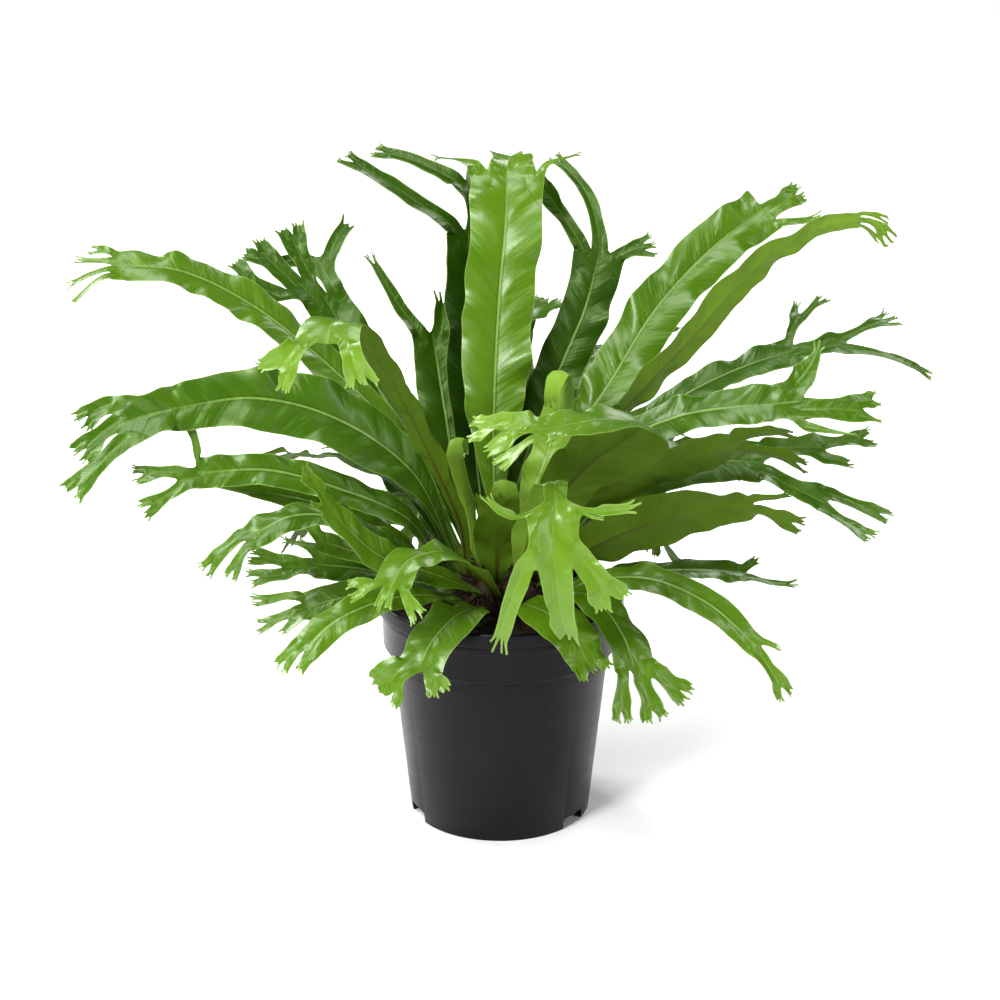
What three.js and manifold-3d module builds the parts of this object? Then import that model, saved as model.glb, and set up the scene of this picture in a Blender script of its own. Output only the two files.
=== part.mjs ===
// A potted crested bird's-nest fern: strap fronds with antler tips, rising from one
// scaly crown in a round nursery pot. Millimetres, +Z up, -Y is the front of the plant and
// +X its right side. The origin is on the ground under the middle of the whole plant, and
// every shape below is measured from the pot's axis, which stands at potPlace.
import * as THREE from "three";
import { mergeVertices } from "three/addons/utils/BufferGeometryUtils.js";
import Module from "manifold-3d";

const wasm = await Module();
wasm.setup();

// Pot: a 17 cm thermoformed nursery pot
const potPlace = [-4.6, -50, 0];
const potHeight = 160;
const lipRadius = 85;
const lipHeight = 10;
const lipRounding = 1.2;
const collarRadius = 80.5;
const collarBottom = 124;
const collarFlare = 0.6;
const bodyTopRadius = 75;
const bodyTop = 120;
const footRadius = 62.5;
const wall = 1.8;
const footHeight = 9;
const footWidth = 4.5;
const floorThickness = 2;
const notchCount = 3;
const notchAngle = 20;
const firstNotch = -36;
const drainHoles = 6;
const drainRadius = 5;
const drainCircle = 40;
const potSides = 48;

// Soil and crown
const gap = 0.3;
const soilLevel = 150;
const soilFall = 3; // how much lower it lies at the pot's wall
const soilSides = 36;
const crownRadius = 30;
const crownCentre = soilLevel + 2;
const crownSides = 24;
const crownSteps = 9;

// Fronds
const ringTilt = [80, 62, 44, 26, 8]; // degrees from upright, from the outermost ring inwards
const seatGap = 0.35;
const straightStart = 12;
const petioleWidth = 6.4;
const petioleThickness = 2.6;
const bladeThickness = 1;
const fold = 0.26; // how far the two halves of a blade are raised, per mm from the midrib
const foldFade = 20; // the fold flattens out over this much of the crest
const baseShare = 0.04; // the share of a frond's length that is all petiole
const neckStart = 0.7; // the share of the length where the blade starts to narrow again
const ribFade = 0.8; // the share of the length where the thick midrib ends
const seatLength = 20; // the thick base over this length is as deep as the petiole
const rowLength = 25;
const rowSpread = 1.1; // rows lie closer together near the base
const shortLobe = 32; // a lobe that forks again and is shorter than this is one row long
const midribSteps = 120;
const curlLength = 60;
const fanAngle = 26;
const rootTurnShare = 0.7;
const branchSpread = 0.14; // what a lobe that forks again gains in width, per mm of length
const tipBulge = 0.45;

const degrees = Math.PI / 180;
const vector = (x, y, z) => new THREE.Vector3(x, y, z);

// A lobe is [turn in degrees from its parent, length, its own lobes, its share of the width,
// what it gains in width before it forks]. A turn may be a pair, at the lobe's root and at its
// end. Lobes are listed from the right edge of the frond to the left one, looking outwards
// along it, and a lobe of length 0 leaves the blade's own margin plain.
const fan = (...lengths) =>
  lengths.map((length, i) => [fanAngle * (i - (lengths.length - 1) / 2), length]);

// One lobe that forks again beside one that doesn't
const forked = (stem, side, other) => [
  [-14, stem, [[-16, side, fan(8, 8)], [14, side, fan(7, 8)]]],
  [[20, 30], other, fan(8, 9)],
];

// Each frond: ring and azimuth of its seat on the crown, the way of its midrib from there
// to the root of the crest, blade width, twist along it, and the crest.
const fronds = [
  {
    name: "frond_01_tall_centre", ring: 4, seat: 90, width: 48, neck: 1.08,
    way: [[-4, 26, 230], [-4, 42, 280], [0, 68, 355], [4, 84, 396], [5, 95, 418], [5, 104, 427]],
    twist: [0, 0, 0], curl: -110,
    crest: [
      [[-40, -96], 32, null, 2], [[-2, -2], 26, [[0, 0], [-6, 9, null, 3], [0, 0]], 10, 0],
      [[40, 98], 38, null, 4],
    ],
  },
  {
    name: "frond_02_dark_horned", ring: 3, seat: 118, width: 38, neck: 0.92,
    way: [[-16, 46, 232], [-19, 66, 282], [-21, 92, 342], [-22, 110, 385]],
    twist: [0, 0, 0], curl: -10,
    crest: [
      [[4, 6], 38, [[-12, 14, null, 2], [[46, 50], 52, fan(6, 7), 2, -0.1]]],
      [[54, 57], 84, fan(8, 12), 3, 0],
    ],
  },
  {
    name: "frond_03_left_spur", ring: 3, seat: 155, width: 36, neck: 0.8,
    way: [[-30, 44, 222], [-38, 66, 264], [-47, 90, 316]],
    twist: [-20, -45, -45], curl: -10,
    crest: [[[-14, -8], 30, null, 4], [[28, 24], 58, fan(7, 6), 3, -0.4]],
  },
  {
    name: "frond_04_long_left_arch", ring: 2, seat: 157, width: 28, neck: 0.8,
    way: [[-62, 14, 256], [-112, 22, 309], [-168, 27, 354], [-214, 28, 376], [-256, 26, 380]],
    twist: [-10, -20, -25], curl: -50,
    crest: [
      [[-20, -8], 12, fan(6, 6)], [[0, -4], 28, null, 2], [[14, 22], 38, null, 2],
      [[26, 40], 40, null, 2],
    ],
  },
  {
    name: "frond_05_left_antler", ring: 2, seat: 126, width: 34, neck: 0.95,
    way: [[-46, 53, 228], [-83, 88, 273], [-113, 114, 317], [-125, 122, 336]],
    twist: [-10, -25, -25], curl: -10,
    crest: [
      [[6, -10], 26, [[[-34, -54], 40, null, 2], [[50, 78], 30, null, 2]], 4, 0.8],
      [[14, 16], 18, [[-24, 30, fan(8, 8)], [0, 34, fan(9, 9)], [[22, 16], 34, fan(9, 9)]], 6, 1],
    ],
  },
  {
    name: "frond_06_curled_pale", ring: 2, seat: 225, width: 21, neck: 1.95,
    way: [
      [-26, -36, 220], [-42, -50, 265], [-62, -66, 315], [-80, -80, 350], [-92, -92, 368],
      [-101, -106, 373], [-104, -120, 363],
    ],
    twist: [0, 10, 0], curl: -120,
    crest: [
      [[-30, -44], 20, [[-30, 12], [24, 10]], 3], [-10, 0], [4, 0], [4, 0],
      [[30, 14], 22, fan(6, 5, 7), 3],
    ],
  },
  {
    name: "frond_07_broad_left", ring: 2, seat: 190, width: 44, neck: 0.7,
    way: [[-58, -20, 250], [-108, -34, 292], [-158, -44, 308], [-208, -54, 304]],
    twist: [-20, -50, -60], curl: -25,
    crest: [
      [
        [5, 13], 36,
        [
          [[-10, 24], 16, fan(6, 7), 3], [[10, 30], 24, fan(7, 8), 3],
          [[24, 30], 38, fan(8, 7), 3],
        ],
      ],
    ],
  },
  {
    name: "frond_08_left_stag", ring: 1, seat: 178, width: 21, neck: 1,
    way: [[-62, -26, 220], [-108, -42, 247], [-150, -52, 262], [-194, -58, 262]],
    twist: [-10, -40, -50], curl: 0,
    crest: [
      [[-90, -66], 30, fan(7, 8), 2],
      [6, 12, [[[-14, 0], 22, fan(7, 7)], [[26, 20], 22, fan(7, 7)]]],
    ],
  },
  {
    name: "frond_09_left_slip", ring: 0, seat: 164, width: 20, neck: 0.6,
    way: [[-70, 0, 194], [-115, -8, 222], [-164, -20, 238]],
    twist: [-10, -35, -40], curl: -10,
    crest: [[0, 38]],
  },
  {
    name: "frond_10_left_drooping", ring: 1, seat: 218, width: 22, neck: 0.9,
    way: [[-62, -58, 207], [-100, -80, 238], [-132, -92, 244], [-158, -100, 232]],
    twist: [-10, -35, -45], curl: -50,
    crest: [[10, 28, fan(8, 8)], [30, 18, fan(7, 9)]],
  },
  {
    name: "frond_11_left_hook", ring: 1, seat: 198, width: 18, neck: 0.9,
    way: [[-62, -38, 188], [-92, -48, 203], [-118, -54, 214]],
    twist: [0, -30, -40], curl: 20,
    crest: [[-40, 18, fan(8, 8)], [10, 30]],
  },
  {
    name: "frond_12_left_ragged", ring: 0, seat: 185, width: 26, neck: 0.9,
    way: [[-58, -12, 169], [-92, -18, 181], [-124, -22, 186]],
    twist: [0, -30, -35], curl: -10,
    crest: [[[-40, -30], 18, null, 2], [0, 20, [[-12, 16, fan(7, 8)], [8, 16, fan(8, 6)]]]],
  },
  {
    name: "frond_13_left_frilled", ring: 0, seat: 205, width: 26, neck: 0.9,
    way: [[-58, -32, 168], [-92, -44, 173], [-128, -53, 167]],
    twist: [0, -30, -35], curl: -20,
    crest: [
      [[-24, -12], 26, fan(8, 6)], [[8, 14], 12, [[-12, 14, fan(6, 8)], [18, 10, null, 2]]],
    ],
  },
  {
    name: "frond_14_low_left", ring: 0, seat: 224, width: 21, neck: 1,
    way: [[-44, -50, 174], [-73, -80, 183], [-105, -100, 176], [-124, -108, 160]],
    twist: [0, -30, -40], curl: -30,
    crest: [[8, 14, fan(6, 6)], [18, 14, null, 2]],
  },
  {
    name: "frond_15_front_left_upturned", ring: 1, seat: 241, width: 24, neck: 0.9,
    way: [[-44, -72, 198], [-78, -101, 222], [-108, -122, 262]],
    twist: [-30, -60, -60], curl: 20,
    crest: [[-12, 18, fan(6, 6)], [16, 16]],
  },
  {
    name: "frond_16_front_fan", ring: 1, seat: 264, width: 26, neck: 1,
    way: [[-16, -60, 196], [-37, -88, 219], [-59, -109, 219], [-67, -123, 209]],
    twist: [-10, -30, -30], curl: -60,
    crest: [[-56, 13, fan(6, 6)], [4, 10, fan(7, 6)], [50, 18, fan(7, 7)]],
  },
  {
    name: "frond_17_front_short", ring: 2, seat: 266, width: 30, neck: 0.7,
    way: [[-2, -34, 200], [-4, -50, 232]],
    twist: [0, 0, 0], curl: -30,
    crest: [[-14, 18], [16, 18]],
  },
  {
    name: "frond_18_front_star", ring: 1, seat: 292, width: 22, neck: 0.64,
    way: [[16, -56, 206], [23, -80, 244], [31, -99, 267], [34, -109, 272], [34, -117, 265]],
    twist: [0, 0, 0], curl: -60,
    crest: [
      [
        [2, 4], 12,
        [
          [[-90, -134], 28, null, 5],
          [
            [-5, 3], 31,
            [
              [[-28, -20], 54, null, 5], [0, 0], [[4, 10], 60, null, 8],
              [[34, 26], 24, fan(8, 8), 6],
            ],
            24, 0.75,
          ],
          [[50, 84], 14, null, 2], [[88, 92], 30, null, 5],
        ],
        36, 2.9,
      ],
    ],
  },
  {
    name: "frond_19_rim_left", ring: 0, seat: 247, width: 34, neck: 0.95,
    way: [[-16, -53, 167], [-30, -79, 170], [-45, -101, 160], [-51, -109, 149]],
    twist: [0, -10, -10], curl: -20,
    crest: [[[-34, -24], 20, [[-14, 8, null, 2], [12, 8]]], [[34, 40], 12, fan(5, 6)]],
  },
  {
    name: "frond_20_rim_right", ring: 0, seat: 287, width: 34, neck: 0.7,
    way: [[14, -50, 168], [32, -76, 171], [49, -97, 161], [57, -106, 149]],
    twist: [0, 20, 25], curl: -20,
    crest: [[[-14, -20], 10, null, 2], [0, 5], [[10, 16], 9, null, 2]],
  },
  {
    name: "frond_21_rim_trailing", ring: 0, seat: 312, width: 28, neck: 1.05,
    way: [[41, -46, 175], [62, -72, 180], [79, -92, 163], [86, -100, 146]],
    twist: [0, 0, 10], curl: -10,
    crest: [
      [[-24, -20], 26, fan(8, 7)], [6, 10, [[-4, 20, fan(7, 8)], [[22, 30], 18, fan(7, 7)]]],
    ],
  },
  {
    name: "frond_22_low_right", ring: 0, seat: 336, width: 21, neck: 0.75,
    way: [[58, -30, 176], [98, -44, 184], [136, -54, 171], [170, -60, 142]],
    twist: [10, 40, 45], curl: -10,
    crest: [[-14, 30, fan(8, 8)], [22, 14]],
  },
  {
    name: "frond_23_flat_right", ring: 0, seat: 0, width: 20, neck: 0.8,
    way: [[58, 4, 166], [100, 8, 170], [140, 10, 170], [168, 12, 167]],
    twist: [0, 15, 30], curl: 0,
    crest: [[-14, 40], [[34, 44], 16]],
  },
  {
    name: "frond_24_broad_right", ring: 1, seat: 341, width: 44, neck: 0.5, swell: 0.36,
    way: [[58, -28, 198], [98, -42, 222], [134, -52, 235], [162, -58, 238]],
    twist: [-20, -60, -60], curl: -10,
    crest: [[-6, 30], [20, 26, fan(8, 8)]],
  },
  {
    name: "frond_25_right_claw", ring: 1, seat: 6, width: 32, neck: 1,
    way: [[58, 0, 210], [100, 0, 238], [142, -2, 252], [174, -4, 252]],
    twist: [10, 30, 35], curl: -20,
    crest: [
      [[-24, -30], 46, [[-14, 30, fan(8, 8)], [12, 32, fan(8, 9)]]],
      [[16, 8], 44, [[-10, 24, null, 2], [14, 32, fan(9, 9)]]],
    ],
  },
  {
    name: "frond_26_right_loop", ring: 2, seat: 330, width: 30, neck: 0.9,
    way: [[42, -30, 226], [84, -44, 254], [124, -50, 270], [150, -50, 277]],
    twist: [-20, -55, -40], curl: -60,
    crest: [[-20, 36, fan(10, 10)], [10, 40, fan(10, 10)]],
  },
  {
    name: "frond_27_right_glossy", ring: 2, seat: 356, width: 26, neck: 1,
    way: [[42, -12, 237], [80, -18, 271], [118, -26, 291], [152, -33, 299], [176, -37, 302]],
    twist: [10, 35, 45], curl: -15,
    crest: [
      [
        [0, 4], 18,
        [
          [[-20, -16], 42, null, 2], [[-4, -6], 38, [[-10, 16, null, 2], [20, 8, fan(5, 5)]], 4],
          [[42, 66], 36, null, 6],
        ],
        12, 1,
      ],
    ],
  },
  {
    name: "frond_28_right_ragged", ring: 2, seat: 24, width: 25, neck: 1,
    way: [[50, 26, 229], [92, 42, 262], [134, 56, 286], [172, 66, 301], [204, 72, 310]],
    twist: [0, 15, 25], curl: -15,
    crest: [
      [
        [-6, -4], 34,
        [[[-20, -30], 54, fan(8, 7), 6, 0.1], [[20, 14], 34, fan(10, 12, 8), 5, 0.9]], 12,
      ],
      [[54, 46], 24, [[-16, 16, fan(7, 7)], [18, 12, null, 2]], 6, 0.8],
    ],
  },
  {
    name: "frond_29_right_reaching", ring: 3, seat: 8, width: 23, neck: 0.56,
    way: [
      [47, 8, 246], [89, 16, 290], [129, 24, 332], [168, 32, 375], [208, 38, 401], [238, 38, 408],
    ],
    twist: [-10, -65, -60], curl: -130,
    crest: [
      [[8, 4], 14, fan(8, 7), 2, 1], [[24, 34], 20, fan(9, 10, 9), 4, 1.2],
      [[46, 56], 16, fan(8, 7), 2, 1],
    ],
  },
  {
    name: "frond_30_great_right", ring: 3, seat: 42, width: 38, neck: 0.95,
    way: [[37, 36, 239], [72, 58, 284], [109, 84, 337], [147, 100, 375], [184, 110, 402]],
    twist: [0, 30, 35], curl: -20,
    crest: [[[-34, -26], 34], [[-12, 6], 24, fan(5, 6)], [10, 0], [20, 0]],
  },
  {
    name: "frond_31_two_horned", ring: 3, seat: 80, width: 34, neck: 1.05,
    way: [[18, 48, 240], [41, 74, 294], [60, 95, 335], [70, 106, 371]],
    twist: [0, 10, 10], curl: -10,
    crest: [
      [[-40, -64], 20, fan(9, 8, 8), 3], [[12, 60], 76, fan(8, 10), 3, -0.1],
      [[42, 54], 52, fan(8, 9), 3],
    ],
  },
  {
    name: "frond_32_folded_over", ring: 2, seat: 304, width: 44, neck: 0.62,
    way: [
      [30, -50, 230], [56, -74, 272], [82, -96, 298], [88, -107, 308], [64, -117, 315],
      [38, -121, 312], [24, -123, 310],
    ],
    twist: [-20, -40, -80], curl: -20,
    crest: [
      [[-14, -6], 20, [[-12, 16, fan(7, 8)], [16, 16, null, 2]]], [[14, 22], 24, fan(8, 8)],
    ],
  },
  {
    name: "frond_33_young_coiled", ring: 3, seat: 316, width: 24, neck: 0.7,
    way: [[20, 0, 222], [33, 8, 258], [43, 15, 300]],
    twist: [60, 110, 110], curl: 360,
    crest: [[0, 50]],
  },
  {
    name: "fiddlehead_centre", ring: 4, seat: 270, width: 20, neck: 1,
    way: [[2, -14, 210], [3, -20, 232]],
    twist: [0, 0, 0], curl: 430,
    crest: [[0, 46]],
  },
  {
    name: "fiddlehead_left", ring: 3, seat: 204, width: 12, neck: 1,
    way: [[-20, -14, 216], [-30, -20, 262]],
    twist: [0, 30, 45], curl: 430,
    crest: [[0, 42]],
  },
];

// The fronds behind the crown that the others hide from the front: reach is how far out the
// crest begins, top and end are the heights of the midrib's highest part and of its end
const backFronds = [
  { ring: 0, seat: 28, width: 32, reach: 150, top: 200, end: 198, crest: forked(16, 18, 22) },
  { ring: 0, seat: 56, width: 34, reach: 185, top: 196, end: 160, crest: forked(20, 22, 26) },
  { ring: 0, seat: 84, width: 36, reach: 190, top: 196, end: 150, crest: forked(14, 26, 20) },
  { ring: 0, seat: 112, width: 34, reach: 180, top: 194, end: 152, crest: forked(22, 18, 28) },
  { ring: 0, seat: 140, width: 32, reach: 170, top: 196, end: 176, crest: forked(16, 20, 26) },
  { ring: 1, seat: 38, width: 36, reach: 160, top: 234, end: 232, crest: forked(18, 22, 24) },
  { ring: 1, seat: 66, width: 38, reach: 190, top: 232, end: 226, crest: forked(22, 24, 30) },
  { ring: 1, seat: 94, width: 40, reach: 200, top: 236, end: 224, crest: forked(20, 28, 26) },
  { ring: 1, seat: 122, width: 36, reach: 175, top: 242, end: 230, crest: forked(24, 18, 30) },
  { ring: 1, seat: 150, width: 34, reach: 165, top: 234, end: 230, crest: forked(18, 20, 24) },
  { ring: 2, seat: 60, width: 40, reach: 160, top: 268, end: 290, crest: forked(22, 20, 32) },
  { ring: 2, seat: 88, width: 42, reach: 160, top: 282, end: 306, crest: forked(20, 24, 28) },
];

const round = (angle, radius, z) =>
  [radius * Math.cos(angle * degrees), radius * Math.sin(angle * degrees), z];

function backFrond({ ring, seat, width, reach, top, end, crest }, i) {
  return {
    name: `frond_${34 + i}_back`, ring, seat, width, neck: 0.9, crest,
    way: [
      round(seat, 0.38 * reach, THREE.MathUtils.lerp(170, top, 0.6)),
      round(seat, 0.7 * reach, top),
      round(seat, reach, end),
    ],
    twist: [0, i % 2 ? 12 : -12, i % 2 ? 18 : -18], curl: -40,
  };
}

// A leaf pressed flat: points [along, across] and faces, made row by row from base to tips
class FlatLeaf {
  constructor() {
    this.points = [];
    this.faces = [];
  }

  row(points) {
    return points.map((point) => this.points.push(point) - 1);
  }

  join(near, far) {
    let i = 0;
    let j = 0;
    while (i < near.length - 1 || j < far.length - 1) {
      const alongNear = (i + 1) / (near.length - 1);
      const alongFar = (j + 1) / (far.length - 1);
      const stepNear = j === far.length - 1 || (i < near.length - 1 && alongNear <= alongFar);
      if (stepNear) {
        this.faces.push([near[i + 1], near[i], far[j]]);
        i += 1;
      } else {
        this.faces.push([near[i], far[j], far[j + 1]]);
        j += 1;
      }
    }
    return far;
  }
}

const lobeShare = ([, , lobes, share]) => share ?? (lobes ? shareSum(lobes) : 1);
const shareSum = (lobes) => lobes.reduce((sum, lobe) => sum + lobeShare(lobe), 0);

// Lobes grown from the end row of their parent, each from its own share of that row
function growLobes(leaf, parentRow, heading, lobes) {
  const perShare = (parentRow.length - 1) / shareSum(lobes);
  let sharesDone = 0;
  let first = 0;
  for (const lobe of lobes) {
    const [turn, length, children, , flare] = lobe;
    const [rootTurn, endTurn] = Array.isArray(turn) ? turn : [turn * rootTurnShare, turn];
    sharesDone += lobeShare(lobe);
    const last = Math.round(sharesDone * perShare);
    let row = parentRow.slice(first, last + 1);
    const columns = last - first;
    first = last;
    if (length === 0) continue;
    const [startS, startV] = leaf.points[row[0]];
    const [endS, endV] = leaf.points[row[columns]];
    const rootWidth = Math.hypot(endS - startS, endV - startV);
    let s = (startS + endS) / 2;
    let v = (startV + endV) / 2;
    const spread = flare === undefined ? branchSpread * length : rootWidth * flare;
    const steps = children && length < shortLobe ? 1 : 2;
    for (let k = 1; k <= steps; k += 1) {
      const t = k / steps;
      const angle = (heading + THREE.MathUtils.lerp(rootTurn, endTurn, t - 0.5 / steps)) * degrees;
      s += (length / steps) * Math.cos(angle);
      v += (length / steps) * Math.sin(angle);
      const rowAngle = (heading + THREE.MathUtils.lerp(rootTurn, endTurn, t)) * degrees;
      const width = children
        ? rootWidth + spread * t
        : rootWidth * (1 - t) + tipBulge * length * t * (1 - t);
      const places = children || k < steps
        ? Array.from({ length: columns + 1 }, (_, c) => (c / columns - 0.5) * width)
        : [0];
      row = leaf.join(
        row,
        leaf.row(places.map((p) => [s - Math.sin(rowAngle) * p, v + Math.cos(rowAngle) * p])),
      );
    }
    if (children) growLobes(leaf, row, heading + endTurn, children);
  }
}

const smooth = (t) => THREE.MathUtils.smoothstep(t, 0, 1);

// Half the blade's width: a narrow base, full width from the share "swell" of the length on,
// and the share "neck" of it where the crest begins
function halfWidth(along, length, { width, neck, swell = 0.54 }) {
  const t = along / length;
  const grown = smooth((t - baseShare) / (swell - baseShare));
  const narrowing = 1 - (1 - neck) * smooth((t - neckStart) / (1 - neckStart));
  return (petioleWidth + (width - petioleWidth) * grown) * narrowing * 0.5;
}

// The midrib as a curve in space, with the leaf's own directions carried along it
class Midrib {
  constructor({ ring, seat, way, twist, curl }) {
    const tilt = ringTilt[ring] * degrees;
    const out = vector(
      Math.sin(tilt) * Math.cos(seat * degrees),
      Math.sin(tilt) * Math.sin(seat * degrees),
      Math.cos(tilt),
    );
    const centre = vector(0, 0, crownCentre);
    const points = [
      centre.clone().addScaledVector(out, crownRadius + seatGap),
      centre.clone().addScaledVector(out, crownRadius + seatGap + straightStart),
      ...way.map((point) => vector(...point)),
    ];
    this.curve = new THREE.CatmullRomCurve3(points, false, "centripetal");
    this.curve.arcLengthDivisions = 400;
    this.length = this.curve.getLength();
    this.curl = curl * degrees;
    this.frames = [];
    let side = vector(-Math.sin(seat * degrees), Math.cos(seat * degrees), 0);
    for (let i = 0; i <= midribSteps; i += 1) {
      const t = i / midribSteps;
      const tangent = this.curve.getTangentAt(t);
      side = side.clone().addScaledVector(tangent, -side.dot(tangent)).normalize();
      const early = twist[0] * (1 - t) * (1 - 2 * t) + 4 * twist[1] * t * (1 - t);
      const angle = (early + twist[2] * t * (2 * t - 1)) * degrees;
      const turned = side.clone().applyAxisAngle(tangent, angle);
      this.frames.push({
        point: this.curve.getPointAt(t),
        tangent,
        side: turned,
        normal: tangent.clone().cross(turned),
      });
    }
  }

  frame(along) {
    const place = THREE.MathUtils.clamp(along / this.length, 0, 1) * midribSteps;
    const i = Math.min(Math.floor(place), midribSteps - 1);
    const from = this.frames[i];
    const to = this.frames[i + 1];
    const blend = (key) => from[key].clone().lerp(to[key], place - i);
    return {
      point: blend("point"),
      tangent: blend("tangent").normalize(),
      side: blend("side").normalize(),
      normal: blend("normal").normalize(),
    };
  }

  // A point of the flat leaf, carried to its place in space
  bend([along, across], lift) {
    const { point, tangent, side, normal } = this.frame(along);
    const past = Math.max(0, along - this.length);
    const folded = fold * Math.abs(across) * (1 - smooth(past / foldFade));
    point.addScaledVector(side, across);
    const rate = this.curl / curlLength || 1e-6;
    const turn = rate * past;
    point.addScaledVector(tangent, Math.sin(turn) / rate);
    point.addScaledVector(normal, (1 - Math.cos(turn)) / rate);
    const outward = normal.multiplyScalar(Math.cos(turn)).addScaledVector(tangent, -Math.sin(turn));
    return point.addScaledVector(outward, folded + lift);
  }
}

// The flat leaf given its thickness: an upper skin, a lower skin and a rim between them
function thicken(leaf, midrib) {
  const count = leaf.points.length;
  const thickness = ([along, across]) => {
    const rib = 1 - smooth(Math.abs(across) / petioleWidth);
    const fade = 1 - smooth(along / (ribFade * midrib.length));
    const seat = 1 - along / seatLength;
    return bladeThickness + (petioleThickness - bladeThickness) * Math.max(rib * fade, seat);
  };
  const upper = leaf.points.map((point) => midrib.bend(point, 0));
  const lower = leaf.points.map((point) => midrib.bend(point, -thickness(point)));
  const index = leaf.faces.flatMap(([a, b, c]) => [a, b, c, a + count, c + count, b + count]);
  const edges = new Set(leaf.faces.flatMap(([a, b, c]) => [`${a},${b}`, `${b},${c}`, `${c},${a}`]));
  for (const edge of edges) {
    const [a, b] = edge.split(",").map(Number);
    if (!edges.has(`${b},${a}`)) index.push(b, a, a + count, b, a + count, b + count);
  }
  const geometry = new THREE.BufferGeometry().setFromPoints([...upper, ...lower]);
  geometry.setIndex(index);
  return geometry;
}

function frondGeometry(spec) {
  const midrib = new Midrib(spec);
  const leaf = new FlatLeaf();
  const rows = Math.max(4, Math.round(midrib.length / rowLength));
  const across = (along, columns) => {
    const half = halfWidth(along, midrib.length, spec);
    return Array.from({ length: columns + 1 }, (_, c) => [along, half * ((2 * c) / columns - 1)]);
  };
  let row = leaf.row(across(0, 2));
  const tips = shareSum(spec.crest);
  for (let i = 1; i <= rows; i += 1) {
    const along = midrib.length * (i / rows) ** rowSpread;
    row = leaf.join(row, leaf.row(across(along, i < rows ? 2 : tips)));
  }
  growLobes(leaf, row, 0, spec.crest);
  return thicken(leaf, midrib);
}

// Solids that are cut or joined
function toSolid(geometry) {
  const bare = geometry.clone();
  bare.deleteAttribute("normal");
  bare.deleteAttribute("uv");
  const merged = mergeVertices(bare, 1e-3);
  return new wasm.Manifold(
    new wasm.Mesh({
      numProp: 3,
      vertProperties: merged.attributes.position.array,
      triVerts: new Uint32Array(merged.index.array),
    }),
  );
}

function fromSolid(solid) {
  const { vertProperties, triVerts } = solid.getMesh();
  const geometry = new THREE.BufferGeometry();
  geometry.setAttribute("position", new THREE.BufferAttribute(vertProperties, 3));
  return geometry.setIndex(new THREE.BufferAttribute(triVerts, 1));
}

// A profile of [radius, height] pairs turned about the upright axis
const turned = (profile, sides) =>
  new THREE.LatheGeometry(profile.map(([r, z]) => new THREE.Vector2(r, z)), sides).rotateX(Math.PI / 2);

const lipBottom = potHeight - lipHeight;
const innerFloor = footHeight + floorThickness;
const bodyRadius = (z) => THREE.MathUtils.mapLinear(z, 0, bodyTop, footRadius, bodyTopRadius);

function potGeometry() {
  const profile = [
    [0, footHeight],
    [footRadius - footWidth, footHeight],
    [footRadius - footWidth, 0],
    [footRadius, 0],
    [bodyTopRadius, bodyTop],
    [collarRadius - lipRounding, collarBottom - lipRounding],
    [collarRadius, collarBottom],
    [collarRadius + collarFlare, lipBottom],
    [lipRadius - lipRounding, lipBottom],
    [lipRadius, lipBottom + lipRounding],
    [lipRadius, potHeight - lipRounding],
    [lipRadius - lipRounding, potHeight],
    [lipRadius - wall - lipRounding, potHeight],
    [collarRadius + collarFlare - wall, lipBottom - lipRounding],
    [collarRadius - wall, collarBottom],
    [bodyTopRadius - wall, bodyTop - lipRounding],
    [bodyRadius(innerFloor) - wall, innerFloor],
    [0, innerFloor],
  ];
  let pot = toSolid(turned(profile, potSides));
  for (let i = 0; i < notchCount; i += 1) {
    const width = 2 * footRadius * Math.sin((notchAngle / 2) * degrees);
    const notch = new THREE.BoxGeometry(3 * footWidth, width, 2 * (footHeight - 1));
    notch.translate(footRadius - footWidth / 2, 0, 0);
    notch.rotateZ((firstNotch + (360 / notchCount) * i) * degrees);
    pot = pot.subtract(toSolid(notch));
  }
  for (let i = 0; i < drainHoles; i += 1) {
    const hole = new THREE.CylinderGeometry(drainRadius, drainRadius, 4 * floorThickness, 12);
    hole.rotateX(Math.PI / 2);
    hole.translate(...round((360 / drainHoles) * i, drainCircle, footHeight + floorThickness / 2));
    pot = pot.subtract(toSolid(hole));
  }
  return fromSolid(pot);
}

function soilGeometry() {
  const profile = [
    [0, innerFloor + gap],
    [bodyRadius(innerFloor) - wall - 2 * gap, innerFloor + gap],
    [bodyTopRadius - wall - 2 * gap, bodyTop - lipRounding],
    [collarRadius - wall - 2 * gap, collarBottom + 2 * gap],
    [collarRadius - wall - 2 * gap, soilLevel - soilFall],
    [1.5 * crownRadius, soilLevel],
    [0, soilLevel],
  ];
  return turned(profile, soilSides);
}

function crownGeometry() {
  const bottom = soilLevel + gap;
  const lowest = Math.acos((bottom - crownCentre) / crownRadius);
  const profile = [[0, bottom]];
  for (let i = crownSteps; i >= 1; i -= 1) {
    const tilt = (lowest * i) / crownSteps;
    profile.push([crownRadius * Math.sin(tilt), crownCentre + crownRadius * Math.cos(tilt)]);
  }
  profile.push([0, crownCentre + crownRadius]);
  return turned(profile, crownSides);
}

const material = (color, roughness) => new THREE.MeshStandardMaterial({ color, roughness, metalness: 0 });
const frondMaterial = material(0x4b8a2c, 0.35);
const youngMaterial = material(0x8dbb45, 0.4);
const youngNames = /pale|young|fiddlehead|star|fan/;

const fern = new THREE.Group();

function place(name, geometry, surface) {
  const mesh = new THREE.Mesh(geometry, surface);
  mesh.name = name;
  mesh.position.set(...potPlace);
  fern.add(mesh);
}

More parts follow.
